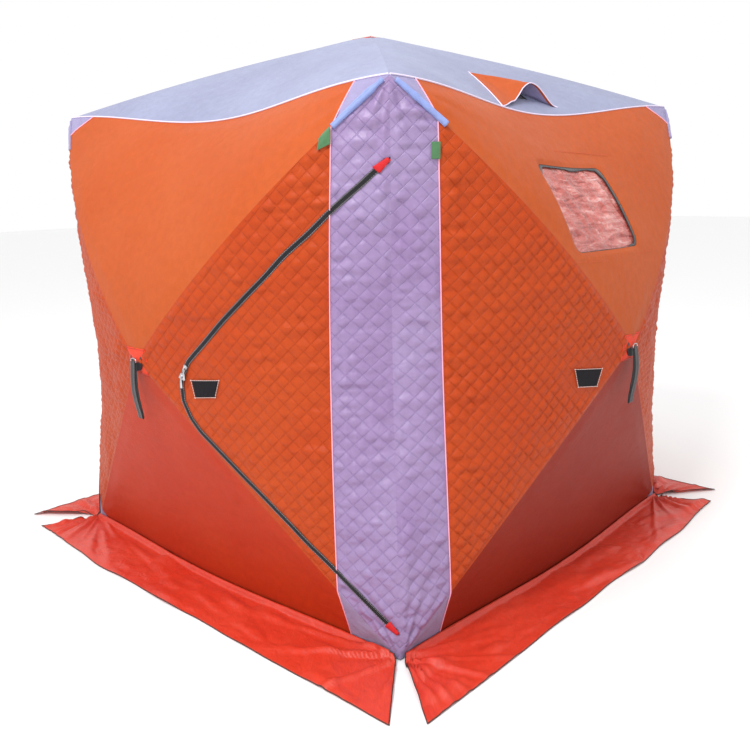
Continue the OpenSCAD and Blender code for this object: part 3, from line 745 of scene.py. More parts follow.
def webbing(name, shade, light, rib=0.003):
    """Woven strap: fine ribs across, and fuzz that catches light."""
    material, tree, shader = new_material(name)
    place = add(tree, "ShaderNodeUVMap", uv_map="cloth").outputs[0]
    ribs = weave_height(tree, place, rib)
    worn = add(tree, "ShaderNodeTexNoise", {"Vector": place, "Scale": 60.0, "Detail": 6.0})
    level = add(tree, "ShaderNodeMath", {0: worn.outputs["Fac"], 1: ribs}, operation="MULTIPLY")
    tone = add(tree, "ShaderNodeMix", {0: level.outputs[0], 6: colour(shade), 7: colour(light)},
               data_type="RGBA").outputs[2]
    height = add(tree, "ShaderNodeMath", {0: ribs, 1: rib * 0.25}, operation="MULTIPLY")
    bump = add(tree, "ShaderNodeBump", {"Height": height.outputs[0], "Strength": 0.9, "Distance": 1.0})
    tree.links.new(tone, shader.inputs["Base Color"])
    tree.links.new(bump.outputs[0], shader.inputs["Normal"])
    shader.inputs["Roughness"].default_value = 0.72
    shader.inputs["Sheen Weight"].default_value = 0.25
    return material


def plain(name, shade, light, roughness, metallic=0.0, grain=900.0, depth=0.0001):
    """A hard or thin part: even colour with a fine grain and slight wear in its gloss."""
    material, tree, shader = new_material(name)
    place = add(tree, "ShaderNodeTexCoord").outputs["Object"]
    fine = add(tree, "ShaderNodeTexNoise", {"Vector": place, "Scale": grain, "Detail": 4.0})
    broad = add(tree, "ShaderNodeTexNoise", {"Vector": place, "Scale": 25.0, "Detail": 4.0})
    tone = add(tree, "ShaderNodeMix", {0: broad.outputs["Fac"], 6: colour(shade), 7: colour(light)},
               data_type="RGBA").outputs[2]
    height = add(tree, "ShaderNodeMath", {0: fine.outputs["Fac"], 1: depth}, operation="MULTIPLY")
    bump = add(tree, "ShaderNodeBump", {"Height": height.outputs[0], "Strength": 0.6, "Distance": 1.0})
    worn = add(tree, "ShaderNodeMapRange",
               {"Value": broad.outputs["Fac"], "To Min": roughness - 0.07, "To Max": roughness + 0.10})
    for key, value in {"Base Color": tone, "Roughness": worn.outputs[0], "Normal": bump.outputs[0]}.items():
        tree.links.new(value, shader.inputs[key])
    shader.inputs["Metallic"].default_value = metallic
    return material


def film_material():
    """Crinkled PVC film: glossy and milky pink, a painted glow for the lit inside seen through it, with
    painted highlights and painted shade that follow its folds.
    """
    material, tree, shader = new_material("pvc_film")
    place = add(tree, "ShaderNodeUVMap", uv_map="cloth").outputs[0]
    drawn = add(tree, "ShaderNodeMapping",
                {"Vector": place, "Rotation": (0, 0, 0.95), "Scale": (7.0, 34.0, 1.0)})
    streaks = add(tree, "ShaderNodeTexNoise",
                  {"Vector": drawn.outputs[0], "Scale": 1.0, "Detail": 8.0, "Roughness": 0.62,
                   "Distortion": 1.4})
    specks = add(tree, "ShaderNodeTexNoise",
                 {"Vector": place, "Scale": 130.0, "Detail": 8.0, "Roughness": 0.75})
    both = add(tree, "ShaderNodeMix", {0: 0.22, 2: streaks.outputs["Fac"], 3: specks.outputs["Fac"]})
    # The colour follows the folds' own noise: painted highlights and painted shade on the crinkles, over
    # pinks painted for the lit inside
    ramp = add(tree, "ShaderNodeValToRGB", {0: both.outputs[0]})
    stops = ((0.34, "#8e342e"), (0.44, "#bc5850"), (0.53, "#d0746c"), (0.62, "#e8a8a2"),
             (0.70, "#fdf4f2"))
    for element, (position, shade) in zip(ramp.color_ramp.elements, (stops[0], stops[-1])):
        element.position, element.color = position, colour(shade)
    for position, shade in stops[1:-1]:
        ramp.color_ramp.elements.new(position).color = colour(shade)
    height = add(tree, "ShaderNodeMath", {0: streaks.outputs["Fac"], 1: 0.012}, operation="MULTIPLY")
    bump = add(tree, "ShaderNodeBump", {"Height": height.outputs[0], "Strength": 0.9, "Distance": 1.0})
    tree.links.new(ramp.outputs[0], shader.inputs["Base Color"])
    tree.links.new(bump.outputs[0], shader.inputs["Normal"])
    shader.inputs["Roughness"].default_value = 0.16
    shader.inputs["Alpha"].default_value = 0.9
    shader.inputs["Coat Weight"].default_value = 0.5
    return material


# Smooth, taut orange cloth with a soft gloss, on the walls' upper panels and the hood
TOP_ORANGE = cloth("coated_oxford_orange", "#b14c17", "#b55220", roughness=0.52, crease=0.0003)
# Padded orange cloth: painted shade darkens its stitch lines, glossier between them
QUILT_ORANGE = cloth("quilted_polyester_orange", "#ae3c0c", "#b14211", roughness=0.42, crease=0.0008,
                     quilted="#9a3410", groove_shade_amount=0.24)
# Smooth redder cloth of the lower panels
LOW_ORANGE = cloth("coated_oxford_red_orange", "#ad2b06", "#b13109", roughness=0.50, crease=0.0003)
# The lower panels' cloth darkened with painted shade, for the lower panel on the side away from the light
PAINTED_SHADE_RED_ORANGE = cloth("coated_oxford_painted_shade_red_orange", "#871d05", "#8c2209", roughness=0.50, crease=0.0003)
# Padded satin of the contrast band: glossy puffs, stitch lines darkened violet with painted shade
LAVENDER = cloth("quilted_satin_lavender", "#8c729e", "#9580a8", roughness=0.34, crease=0.0007,
                 quilted="#7c68a2", groove_shade_amount=0.28, specular=0.5)
# Plain satin of the caps, foot patches and sleeves
CAP_LAVENDER = cloth("satin_lavender", "#9088ad", "#9a94b5", roughness=0.42, crease=0.0008)
# Silvery blue-grey roof cloth, faintly mottled
ROOF_CLOTH = cloth("silver_coated_roof_cloth", "#8a8da8", "#9297b2", roughness=0.46, crease=0.0004)
# Red tarpaulin of the skirt: heavier weave and a wet-looking gloss on its folds
SKIRT_CLOTH = cloth("tarpaulin_red_orange", "#cf341e", "#d6412b", roughness=0.34, crease=0.0008, thread=0.004,
                    specular=0.5)
# Matt red nylon over the hubs
PATCH_RED = cloth("nylon_patch_red", "#dc4028", "#e44e34", roughness=0.55, thread=0.0035)
# Deeper red nylon at the ends of the zipper
TAB_RED = cloth("nylon_tab_red", "#c02024", "#d03034", roughness=0.55, thread=0.0035)
# Hook tape: a dead matt black
PATCH_BLACK = cloth("hook_tape_black", "#161418", "#232126", roughness=0.85, thread=0.004, crease=0.001)
# Zipper tape and window trim: black, ribbed, a little lighter on the ribs
TAPE_BLACK = webbing("zipper_tape_black", "#121116", "#28262c")
# Pull straps: black webbing with grey on the ribs
STRAP_BLACK = webbing("nylon_webbing_black", "#1a191e", "#34333a")
# Pull tabs: green webbing with paler ribs
GREEN = webbing("nylon_webbing_green", "#3f7045", "#649468")
# Pale blue cloth of the pole sleeves beside the door
SLEEVE = cloth("pole_sleeve_blue", "#8494cc", "#9fb0e0", roughness=0.5, thread=0.004, crease=0.001)
# Pale pink piping that outlines the band and the caps
PIPING_PINK = plain("piping_pink", "#ee9cb4", "#f4b4c4", 0.5, depth=0.0002)
# Nearly white piping along the roof's edge
PIPING_PALE = plain("piping_pale_lavender", "#dccfe8", "#e8dcf0", 0.5, depth=0.0002)
# Dark brown binding that outlines the skirt and the corners
BINDING_DARK = plain("binding_dark_brown", "#2a1c18", "#3a2820", 0.7, depth=0.0003)
# Threads: pale on black patches, grey on tape, and toned in on the cloths
THREAD_PALE = plain("polyester_thread_pale", "#c8b8b4", "#d8ccc8", 0.6)
THREAD_GREY = plain("polyester_thread_grey", "#8a8488", "#9c969a", 0.6)
THREAD_ORANGE = plain("polyester_thread_orange", "#b8481c", "#c85424", 0.6)
THREAD_RED = plain("polyester_thread_red", "#a83020", "#b83c28", 0.6)
# Zipper teeth: black with small highlights
TOOTH_BLACK = plain("nylon_coil_black", "#0e0d10", "#1c1b20", 0.42)
# Bright zinc of sliders and rings
METAL = plain("zinc_alloy_polished", "#b8b8bc", "#d0d0d4", 0.28, metallic=1.0)
# Satin black plastic of hubs and sockets
HUB_PLASTIC = plain("abs_black", "#1c1c20", "#2a2a30", 0.45)
# Smooth grey glass fibre
POLE = plain("glass_fibre_grey", "#80848a", "#989ca2", 0.35)
# Crinkled clear film, painted pink for the lit cloth behind it, with painted highlights and painted shade on
# its folds
FILM = film_material()
# Dark netting under the hood
MESH = webbing("vent_mesh_dark", "#241c22", "#54404c", rib=0.004)


# ---- Repeats by geometry nodes ----

def row_tree():
    """Small blocks set on points, turned by the points' along and up attributes."""
    tree = bpy.data.node_groups.new("sewn_row", "GeometryNodeTree")
    face = tree.interface
    face.new_socket("Geometry", in_out="INPUT", socket_type="NodeSocketGeometry")
    for name in ("Length", "Width", "Height"):
        face.new_socket(name, in_out="INPUT", socket_type="NodeSocketFloat")
    face.new_socket("Material", in_out="INPUT", socket_type="NodeSocketMaterial")
    face.new_socket("Geometry", in_out="OUTPUT", socket_type="NodeSocketGeometry")
    given = add(tree, "NodeGroupInput")
    size = add(tree, "ShaderNodeCombineXYZ", {i: given.outputs[i + 1] for i in range(3)})
    block = add(tree, "GeometryNodeMeshCube", {"Size": size.outputs[0]})
    along = add(tree, "GeometryNodeInputNamedAttribute", {"Name": "along"}, data_type="FLOAT_VECTOR")
    up = add(tree, "GeometryNodeInputNamedAttribute", {"Name": "up"}, data_type="FLOAT_VECTOR")
    turn = add(tree, "FunctionNodeAxesToRotation", {0: along.outputs[0], 1: up.outputs[0]},
               primary_axis="X", secondary_axis="Z")
    placed = add(tree, "GeometryNodeInstanceOnPoints",
                 {"Points": given.outputs[0], "Instance": block.outputs[0], "Rotation": turn.outputs[0]})
    real = add(tree, "GeometryNodeRealizeInstances", {0: placed.outputs[0]})
    done = add(tree, "GeometryNodeSetMaterial", {0: real.outputs[0], "Material": given.outputs["Material"]})
    add(tree, "NodeGroupOutput", {0: done.outputs[0]})
    return tree


def piping_tree():
    """A round cord swept along a path."""
    tree = bpy.data.node_groups.new("piping", "GeometryNodeTree")
    face = tree.interface
    face.new_socket("Geometry", in_out="INPUT", socket_type="NodeSocketGeometry")
    face.new_socket("Radius", in_out="INPUT", socket_type="NodeSocketFloat")
    face.new_socket("Sides", in_out="INPUT", socket_type="NodeSocketInt")
    face.new_socket("Material", in_out="INPUT", socket_type="NodeSocketMaterial")
    face.new_socket("Geometry", in_out="OUTPUT", socket_type="NodeSocketGeometry")
    given = add(tree, "NodeGroupInput")
    line = add(tree, "GeometryNodeMeshToCurve", {0: given.outputs[0]})
    ring = add(tree, "GeometryNodeCurvePrimitiveCircle",
               {"Resolution": given.outputs["Sides"], "Radius": given.outputs["Radius"]})
    swept = add(tree, "GeometryNodeCurveToMesh",
                {"Curve": line.outputs[0], "Profile Curve": ring.outputs[0], "Fill Caps": True})
    even = add(tree, "GeometryNodeSetShadeSmooth", {0: swept.outputs[0]})
    real = add(tree, "GeometryNodeRealizeInstances", {0: even.outputs[0]})
    done = add(tree, "GeometryNodeSetMaterial", {0: real.outputs[0], "Material": given.outputs["Material"]})
    add(tree, "NodeGroupOutput", {0: done.outputs[0]})
    return tree


ROW = row_tree()
PIPING = piping_tree()


def grown(name, mesh, tree, inputs, body, slot):
    """The plain mesh that a node tree makes of a mesh of points or edges."""
    source = bpy.data.objects.new(name + "_source", mesh)
    bpy.context.scene.collection.objects.link(source)
    modifier = source.modifiers.new("grow", "NODES")
    modifier.node_group = tree
    sockets = {item.name: item.identifier for item in tree.interface.items_tree if item.in_out == "INPUT"}
    for key, value in inputs.items():
        modifier[sockets[key]] = value
    result = bpy.data.meshes.new_from_object(source.evaluated_get(bpy.context.evaluated_depsgraph_get()))
    source.modifiers.clear()
    bpy.data.objects.remove(source)
    result.name = name
    return placed(name, result, slot, body)


def piping(name, paths, radius, material, slot, body="shelter", sides=6):
    """Round cord along each path of points."""
    mesh = bpy.data.meshes.new(name + "_paths")
    points = np.concatenate(paths)
    ends = np.cumsum([len(path) for path in paths])
    edges = [(i, i + 1) for i in range(len(points) - 1) if i + 1 not in ends]
    mesh.from_pydata(points.tolist(), edges, [])
    return grown(name, mesh, PIPING, {"Radius": radius, "Sides": sides, "Material": material}, body, slot)


def sewn_row(name, rows, size, material, slot, body="shelter"):
    """Blocks of one size on rows of (points, up directions)."""
    points = np.concatenate([row[0] for row in rows])
    along = np.concatenate([unit(np.gradient(row[0], axis=0)) for row in rows])
    up = np.concatenate([row[1] for row in rows])
    mesh = bpy.data.meshes.new(name + "_points")
    mesh.from_pydata(points.tolist(), [], [])
    for key, value in (("along", along), ("up", up)):
        mesh.attributes.new(key, "FLOAT_VECTOR", "POINT").data.foreach_set("vector", value.ravel())
    inputs = {"Length": size[0], "Width": size[1], "Height": size[2], "Material": material}
    return grown(name, mesh, ROW, inputs, body, slot)


def even_steps(path, pitch):
    """Shares along a path of points, a pitch apart."""
    length = lengths(path)
    count = max(2, int(length[-1] / pitch))
    return np.interp(np.linspace(0, length[-1], count + 1), length, np.linspace(0, 1, len(path)))


def surface_row(line, pitch, surface=wall, turn=FRONT, lift=0.0012, s=None):
    """Evenly spaced points and normals along line(s), which gives [p, q] for s from 0 to 1."""
    s = np.linspace(0, 1, 400) if s is None else s
    path = surface(*line(s).T)
    s = s[0] + (s[-1] - s[0]) * even_steps(path, pitch)
    p, q = line(s).T
    return turned(raised(surface, p, q, np.full(len(p), lift)), turn), turned(outward(surface, p, q), turn)


def line_between(a, b):
    a, b = np.array(a, float), np.array(b, float)
    return lambda s: mix(a, b, np.asarray(s)[:, None])


# ---- Wall, roof and band cloth ----

def add_panel(name, slot, material, parts, body="shelter", stands_for=None):
    made = piece(name + "_cloth", parts, material, slot, body, stands_for or (name,))
    declare_cloth(parts)
    return made


def seam_holds(*fields):
    return [beside(field) for field in fields]


FRONT_SEAM = beside_band(FRONT_BAND)
RIGHT_SEAM = beside_band(RIGHT_BAND, -1)

front_top_grid = facet(TO_TOP, PLAIN_ROWS)
front_side_grid = facet(TO_SIDE, FINE_ROWS)
front_left_grid = facet(TO_LEFT, FINE_ROWS)
front_foot_grid = facet(TO_FOOT, PLAIN_ROWS)


def front_wall():
    cap = below_cap(-1)
    relief = plain_relief(TO_TOP, 1, seam_holds(FRONT_SEAM, cap))
    body_grid = cut(cut(front_top_grid, FRONT_SEAM), cap)
    add_panel("front_top", "orange_top_cloth", TOP_ORANGE, [cloth_part(body_grid, TO_TOP, relief=relief)])
    foot = above_foot(-1)
    relief = quilt_relief(TO_LEFT, 2, holds=seam_holds(cap, foot))
    left = cut(cut(front_left_grid, cap), foot)
    add_panel("front_left", "orange_quilted_cloth", QUILT_ORANGE, [cloth_part(left, TO_LEFT, relief=relief)])
    relief = plain_relief(TO_FOOT, 3, seam_holds(FRONT_SEAM, foot))
    low = cut(cut(front_foot_grid, FRONT_SEAM), foot)
    add_panel("front_bottom", "orange_lower_cloth", LOW_ORANGE, [cloth_part(low, TO_FOOT, relief=relief)])


def door_side():
    """The door's facet: the fixed cloth round the zipper, and the flap within it."""
    seams = [(FRONT_SEAM, "up")]
    holds = seam_holds(FRONT_SEAM) + [beside(outside_zip, 0.03), clear_of(FLAP_PATCH)]
    relief = quilt_relief(TO_SIDE, 4, seams, holds, crushed=0.0040, puff=0.0055)
    drawn = quilt_relief(TO_SIDE, 14, seams, holds, crushed=0.0060, puff=0.0055, pull=0.010)
    fixed = cut(front_side_grid, lambda p, q: outside_zip(p, q) - GAP)
    flap = cut(front_side_grid, lambda p, q: -outside_zip(p, q) - GAP)
    part = cloth_part(cut(fixed, FRONT_SEAM), TO_SIDE, relief=relief)
    add_panel("front_surround", "orange_quilted_cloth", QUILT_ORANGE, [part])
    band = cut(fixed, negative(FRONT_SEAM))
    for name, up in (("door_corner_upper", 1), ("door_corner_lower", -1)):
        part = cloth_part(cut(band, lambda p, q, up=up: up * q), TO_SIDE, relief=drawn)
        add_panel(name, "lavender_cloth", LAVENDER, [part])
    pieces = []
    for name, slot, material, side, shape in (
            ("door_flap", "orange_quilted_cloth", QUILT_ORANGE, FRONT_SEAM, relief),
            ("door_flap_band", "lavender_cloth", LAVENDER, negative(FRONT_SEAM), drawn)):
        part = cloth_part(cut(flap, side), TO_SIDE, relief=shape)
        pieces.append(add_panel(name, slot, material, [part], body="door"))
    return pieces


def right_wall():
    cap, foot = below_cap(1), above_foot(1)
    grid = cut(cut(cut(facet(TO_TOP, FINE_ROWS), RIGHT_SEAM), cap), outside_window)
    smooth_cloth = plain_relief(TO_TOP, 5, seam_holds(RIGHT_SEAM, cap, outside_window))

    def streaks(p, q, u, v):
        """Fine upright creases, as well as the broad ones."""
        loose = held_down(p, q) * beside(outside_window)(p, q)
        return smooth_cloth(p, q, u, v) + loose * crumple(v, u, 51, 0.0007, 0.011)
    add_panel("right_top", "orange_top_cloth", TOP_ORANGE,
              [cloth_part(grid, TO_TOP, turn=RIGHT, relief=streaks)])
    seams = [(RIGHT_SEAM, "up")]
    holds = seam_holds(RIGHT_SEAM) + [clear_of(SIDE_PATCH)]
    relief = quilt_relief(TO_LEFT, 6, seams, holds, crushed=0.0030)
    drawn = quilt_relief(TO_LEFT, 16, seams, holds, crushed=0.0060, puff=0.0055, pull=0.010)
    grid = facet(TO_LEFT, FINE_ROWS)
    add_panel("right_left", "orange_quilted_cloth", QUILT_ORANGE,
              [cloth_part(cut(grid, RIGHT_SEAM), TO_LEFT, turn=RIGHT, relief=relief)])
    add_panel("right_band", "lavender_cloth", LAVENDER,
              [cloth_part(cut(grid, negative(RIGHT_SEAM)), TO_LEFT, turn=RIGHT, relief=drawn)])
    relief = quilt_relief(TO_SIDE, 7, holds=seam_holds(cap, foot))
    grid = cut(cut(facet(TO_SIDE, FINE_ROWS), cap), foot)
    add_panel("right_right", "orange_quilted_cloth", QUILT_ORANGE,
              [cloth_part(grid, TO_SIDE, turn=RIGHT, relief=relief)])
    relief = plain_relief(TO_FOOT, 8, seam_holds(RIGHT_SEAM, foot))
    grid = cut(cut(front_foot_grid, RIGHT_SEAM), foot)
    # Painted shade: this lower panel gets the lower cloth darkened for the side away from the light
    add_panel("right_bottom", "orange_lower_cloth", PAINTED_SHADE_RED_ORANGE,
              [cloth_part(grid, TO_FOOT, turn=RIGHT, relief=relief)])


def far_wall(side, turn, window):
    caps = [below_cap(1), below_cap(-1)]
    feet = [above_foot(1), above_foot(-1)]
    seed = 60 + 10 * turn
    grid = cut(cut(front_top_grid, caps[0]), caps[1])
    holds = seam_holds(*caps)
    if window:
        grid = cut(grid, outside_window)
        holds += seam_holds(outside_window)
    add_panel(side + "_top", "orange_top_cloth", TOP_ORANGE,
              [cloth_part(grid, TO_TOP, turn=turn, relief=plain_relief(TO_TOP, seed, holds))])
    for i, (name, corners) in enumerate((("_right", TO_SIDE), ("_left", TO_LEFT))):
        grid = cut(cut(facet(corners, FAR_ROWS), caps[i]), feet[i])
        relief = quilt_relief(corners, seed + 1 + i, holds=seam_holds(caps[i], feet[i]))
        add_panel(side + name, "orange_quilted_cloth", QUILT_ORANGE,
                  [cloth_part(grid, corners, turn=turn, relief=relief)])
    grid = cut(cut(front_foot_grid, feet[0]), feet[1])
    add_panel(side + "_bottom", "orange_lower_cloth", LOW_ORANGE,
              [cloth_part(grid, TO_FOOT, turn=turn,
                          relief=plain_relief(TO_FOOT, seed + 3, seam_holds(*feet)))])


def roof_panels():
    for turn, side in enumerate(("front", "right", "back", "left")):
        grid = facet(TO_FOOT, ROOF_ROWS)
        holds = []
        if turn == RIGHT:
            grid = cut(grid, outside_vent)
            holds = seam_holds(outside_vent)
        relief = plain_relief(TO_FOOT, 100 + turn, holds, roof, depth=0.8)
        add_panel("roof_" + side, "roof_cloth", ROOF_CLOTH,
                  [cloth_part(grid, TO_FOOT, roof, turn, relief)])


def cap_relief(seed):
    """Cap cloth, drawn into folds that run along the pole."""
    def relief(p, q, u, v):
        lean = math.copysign(math.pi / 4, float(np.mean(p)))
        return (0.001 + crumple(u, v, seed, 0.0022, 0.022, lean)) * held_down(p, q, 0.012)
    return relief


def corner_caps():
    """Lavender cloth over the upper corners; beside the door it is the top of the contrast band."""
    parts = []
    for turn in range(4):
        for side in (1, -1):
            if (turn, side) in ((FRONT, 1), (RIGHT, -1)):
                seam = FRONT_SEAM if turn == FRONT else RIGHT_SEAM
                parts.append(cloth_part(cut(facet(TO_TOP, FINE_ROWS), negative(seam)), TO_TOP, turn=turn,
                                        relief=cap_relief(200 + turn)))
                continue
            over = negative(below_cap(side))
            for corners in (TO_TOP, TO_SIDE if side > 0 else TO_LEFT):
                parts.append(cloth_part(cut(facet(corners, FINE_ROWS), over), corners, turn=turn,
                                        relief=cap_relief(210 + 4 * turn + side)))
    add_panel("corner_caps", "lavender_cloth", CAP_LAVENDER, parts)


def foot_patches():
    """Lavender cloth at the corners' feet; beside the door it is the foot of the contrast band."""
    parts = []
    for turn in range(4):
        for side in (1, -1):
            if (turn, side) in ((FRONT, 1), (RIGHT, -1)):
                seam = FRONT_SEAM if turn == FRONT else RIGHT_SEAM
                parts.append(cloth_part(cut(front_foot_grid, negative(seam)), TO_FOOT, turn=turn,
                                        relief=cap_relief(230 + turn)))
                continue
            under = negative(above_foot(side))
            for corners in (TO_FOOT, TO_SIDE if side > 0 else TO_LEFT):
                parts.append(cloth_part(cut(facet(corners, FINE_ROWS), under), corners, turn=turn,
                                        relief=cap_relief(240 + 4 * turn + side)))
    add_panel("foot_patches", "lavender_cloth", CAP_LAVENDER, parts)


# ---- Seams ----

def seam_path(line, turn=FRONT, surface=wall, lift=0.0015, count=90):
    p, q = line(np.linspace(0, 1, count)).T
    return turned(raised(surface, p, q, np.full(count, lift)), turn)


def band_path(band, side, low, high):
    def line(s):
        q = mix(low, high, np.asarray(s))
        return np.stack([side * band_line(q, band), q], -1)
    return line


def cap_line(side):
    def line(s):
        p = mix(CAP_EDGE, 1.0, np.asarray(s))
        return np.stack([side * p, np.minimum(cap_seam(p), 1)], -1)
    return line


def seams():
    """Piping along the contrast band, the caps, the roof's edge and the corners."""
    start, stop = float(zip_cross(ANGLE_A)), float(zip_cross(ANGLE_B))
    fixed = [seam_path(band_path(FRONT_BAND, 1, start + 2 * GAP, 1.0)),
             seam_path(band_path(FRONT_BAND, 1, -1.0, stop - 2 * GAP)),
             seam_path(band_path(RIGHT_BAND, -1, -1.0, 1.0), RIGHT, count=160)]
    for turn in range(4):
        for side in (1, -1):
            if (turn, side) not in ((FRONT, 1), (RIGHT, -1)):
                fixed.append(seam_path(cap_line(side), turn, count=40))
    piping("band_piping", fixed, PIPING_R, PIPING_PINK, "lavender_cloth")
    edge = wall(np.linspace(-0.995, 0.995, 120), 1.0) + [0, 0.001, 0.003]
    edges = [turned(edge, turn) for turn in range(4)]
    piping("roof_edge_piping", edges, 0.003, PIPING_PALE, "roof_cloth")
    corners = [turned(wall(-1.0, np.linspace(-0.98, 0.98, 120)) + [-0.0015, -0.0015, 0], turn)
               for turn in (FRONT, BACK, LEFT)]
    piping("corner_binding", corners, 0.003, BINDING_DARK, "black_webbing")
    on_flap = seam_path(band_path(FRONT_BAND, 1, stop + 3 * GAP, start - 3 * GAP))
    return [piping("flap_band_piping", [on_flap], PIPING_R, PIPING_PINK, "lavender_cloth", body="door")]


def zip_cross(angle):
    """Height at which the zipper's line with that direction crosses the band's seam."""
    n = direction(angle)
    q = 0.0
    for _ in range(20):
        p = band_line(q, FRONT_BAND)
        q = (ZIP_R - n[0] * (p - ZIP_CENTRE[0])) / n[1] + ZIP_CENTRE[1]
    return q


# ---- Zipper ----

def zipper_strip(inner, outer, lift=0.0008, thick=0.0018, count=420):
    """A tape between two offsets from the zipper, as a closed strip with soft edges."""
    s = np.linspace(0.012, 2.988, count)
    across = np.array([0, 0.04, 0.5, 0.96, 1, 0.96, 0.5, 0.04])
    rise = np.array([0.5, 1, 1, 1, 0.5, 0, 0, 0]) * thick + lift
    ss, offset = np.broadcast_arrays(s[:, None], mix(inner, outer, across)[None, :])
    pq = zip_point(ss, offset)
    p, q = pq[..., 0], pq[..., 1]
    points = wall(p, q) + outward(wall, p, q) * rise[None, :, None]
    faces = strip_faces(count, len(across), True)
    if inner > outer:
        faces = faces[:, ::-1]
    along = lengths(points[:, 1])
    uv = np.stack(np.broadcast_arrays(along[:, None], mix(inner, outer, across)[None, :] * ROOF_HALF), -1)
    return points.reshape(-1, 3), faces, uv.reshape(-1, 2)


def zip_row(offset, pitch, lift, start=0.015, stop=2.985):
    return surface_row(lambda s: zip_point(s, offset), pitch, lift=lift, s=np.linspace(start, stop, 900))


def zipper():
    """The zipper's two halves, each a tape, its teeth and its stitching; returns the flap's half."""
    edge = 0.0004 / ROOF_HALF
    reach = GAP + (TAPE_W - 0.002) / ROOF_HALF
    tooth = (0.0026, 0.0055, 0.0022)
    slot = "black_webbing"
    halves = []
    for end, side, body, node in (("fixed", 1, "shelter", "zipper_tape"),
                                  ("flap", -1, "door", "zipper_flap_tape")):
        strip = zipper_strip(side * edge, side * reach)
        teeth = zip_row(side * 0.0016 / ROOF_HALF, TOOTH_PITCH, 0.0036)
        stitches = zip_row(side * (reach - 0.0022 / ROOF_HALF), STITCH, 0.0028)
        halves.append([piece("zipper_tape_" + end, [strip], TAPE_BLACK, slot, body, (node,)),
                       sewn_row("zipper_teeth_" + end, [teeth], tooth, TOOTH_BLACK, slot, body),
                       sewn_row("zipper_stitches_" + end, [stitches], TAPE_THREAD, THREAD_GREY, slot, body)])
    return halves[1]


def zipper_sliders():
    """Two sliders that meet above the turn, each with a pull that hangs from it."""
    parts = []
    for s, sign in ((1.12, 1), (1.24, -1)):
        p, q = zip_point(np.array([s]), 0.0)[0]
        at = wall(p, q)
        up = outward(wall, p, q)
        ahead = zip_point(np.array([s + 0.01]), 0.0)[0]
        along = unit(wall(*ahead) - at)
        across = np.cross(up, along)
        base = at + up * 0.006
        parts.append(block(base, along, across, up, (0.022, 0.016, 0.005), taper=0.6 if sign > 0 else 1.5))
        parts.append(block(base + up * 0.0055, along, across, up, (0.012, 0.005, 0.006)))
        hang = base + up * 0.008 + np.array([0, 0, -0.018])
        parts.append(block(hang, np.array([0, 0, 1.0]), unit(np.cross(up, [0, 0, 1.0])), up,
                           (0.040, 0.009, 0.002), taper=0.6))
    made = piece("zipper_slider_pair", parts, METAL, "zipper_metal", stands_for=("zipper_sliders",))
    soften(made, 0.0008)


def end_tabs():
    """Red tabs sewn over the two ends of the zipper."""
    parts = []
    for s0, s1 in ((0.004, 0.055), (2.945, 2.996)):
        s = np.linspace(s0, s1, 8)
        across = np.linspace(-1, 1, 6) * 0.013 / ROOF_HALF
        ss, off = np.meshgrid(s, across, indexing="ij")
        narrow = mix(1.0, 0.45, (ss - s0) / (s1 - s0) if s0 > 1 else (s1 - ss) / (s1 - s0))
        pq = zip_point(ss, off * narrow)
        p, q = pq[..., 0], pq[..., 1]
        lift = 0.0034 + 0.0015 * slack(off / across[-1])
        parts.append(grid_part(wall(p, q) + outward(wall, p, q) * lift[..., None]))
    made = piece("zipper_end_tab_pair", parts, TAB_RED, "patch_cloth", stands_for=("zipper_end_tabs",))
    thicken(made, 0.0014)


# ---- Window ----

def window_line(s, off=0.0):
    """The window's outline as an angle round its centre, s from 0 to 1."""
    angle = 2 * np.pi * np.asarray(s)
    reach_low, reach_high = np.zeros(len(angle)), np.ones(len(angle))
    for _ in range(40):
        reach = (reach_low + reach_high) / 2
        at = WINDOW_CENTRE + reach[:, None] * direction(angle)
        inside = outside_window(at[:, 0], at[:, 1]) < off
        reach_low, reach_high = np.where(inside, reach, reach_low), np.where(inside, reach_high, reach)
    return WINDOW_CENTRE + reach_low[:, None] * direction(angle)


# The two sewn lines above and below the window: height, and how far their ends rise
SEAMS_BY_WINDOW = ((0.353, 0.012), (0.805, -0.02))
SEAM_ENDS = (-0.37, 0.22)


def bent_line(q, rise):
    def line(s):
        return np.stack([mix(*SEAM_ENDS, s), q + rise * (2 * s - 1) ** 2], -1)
    return line


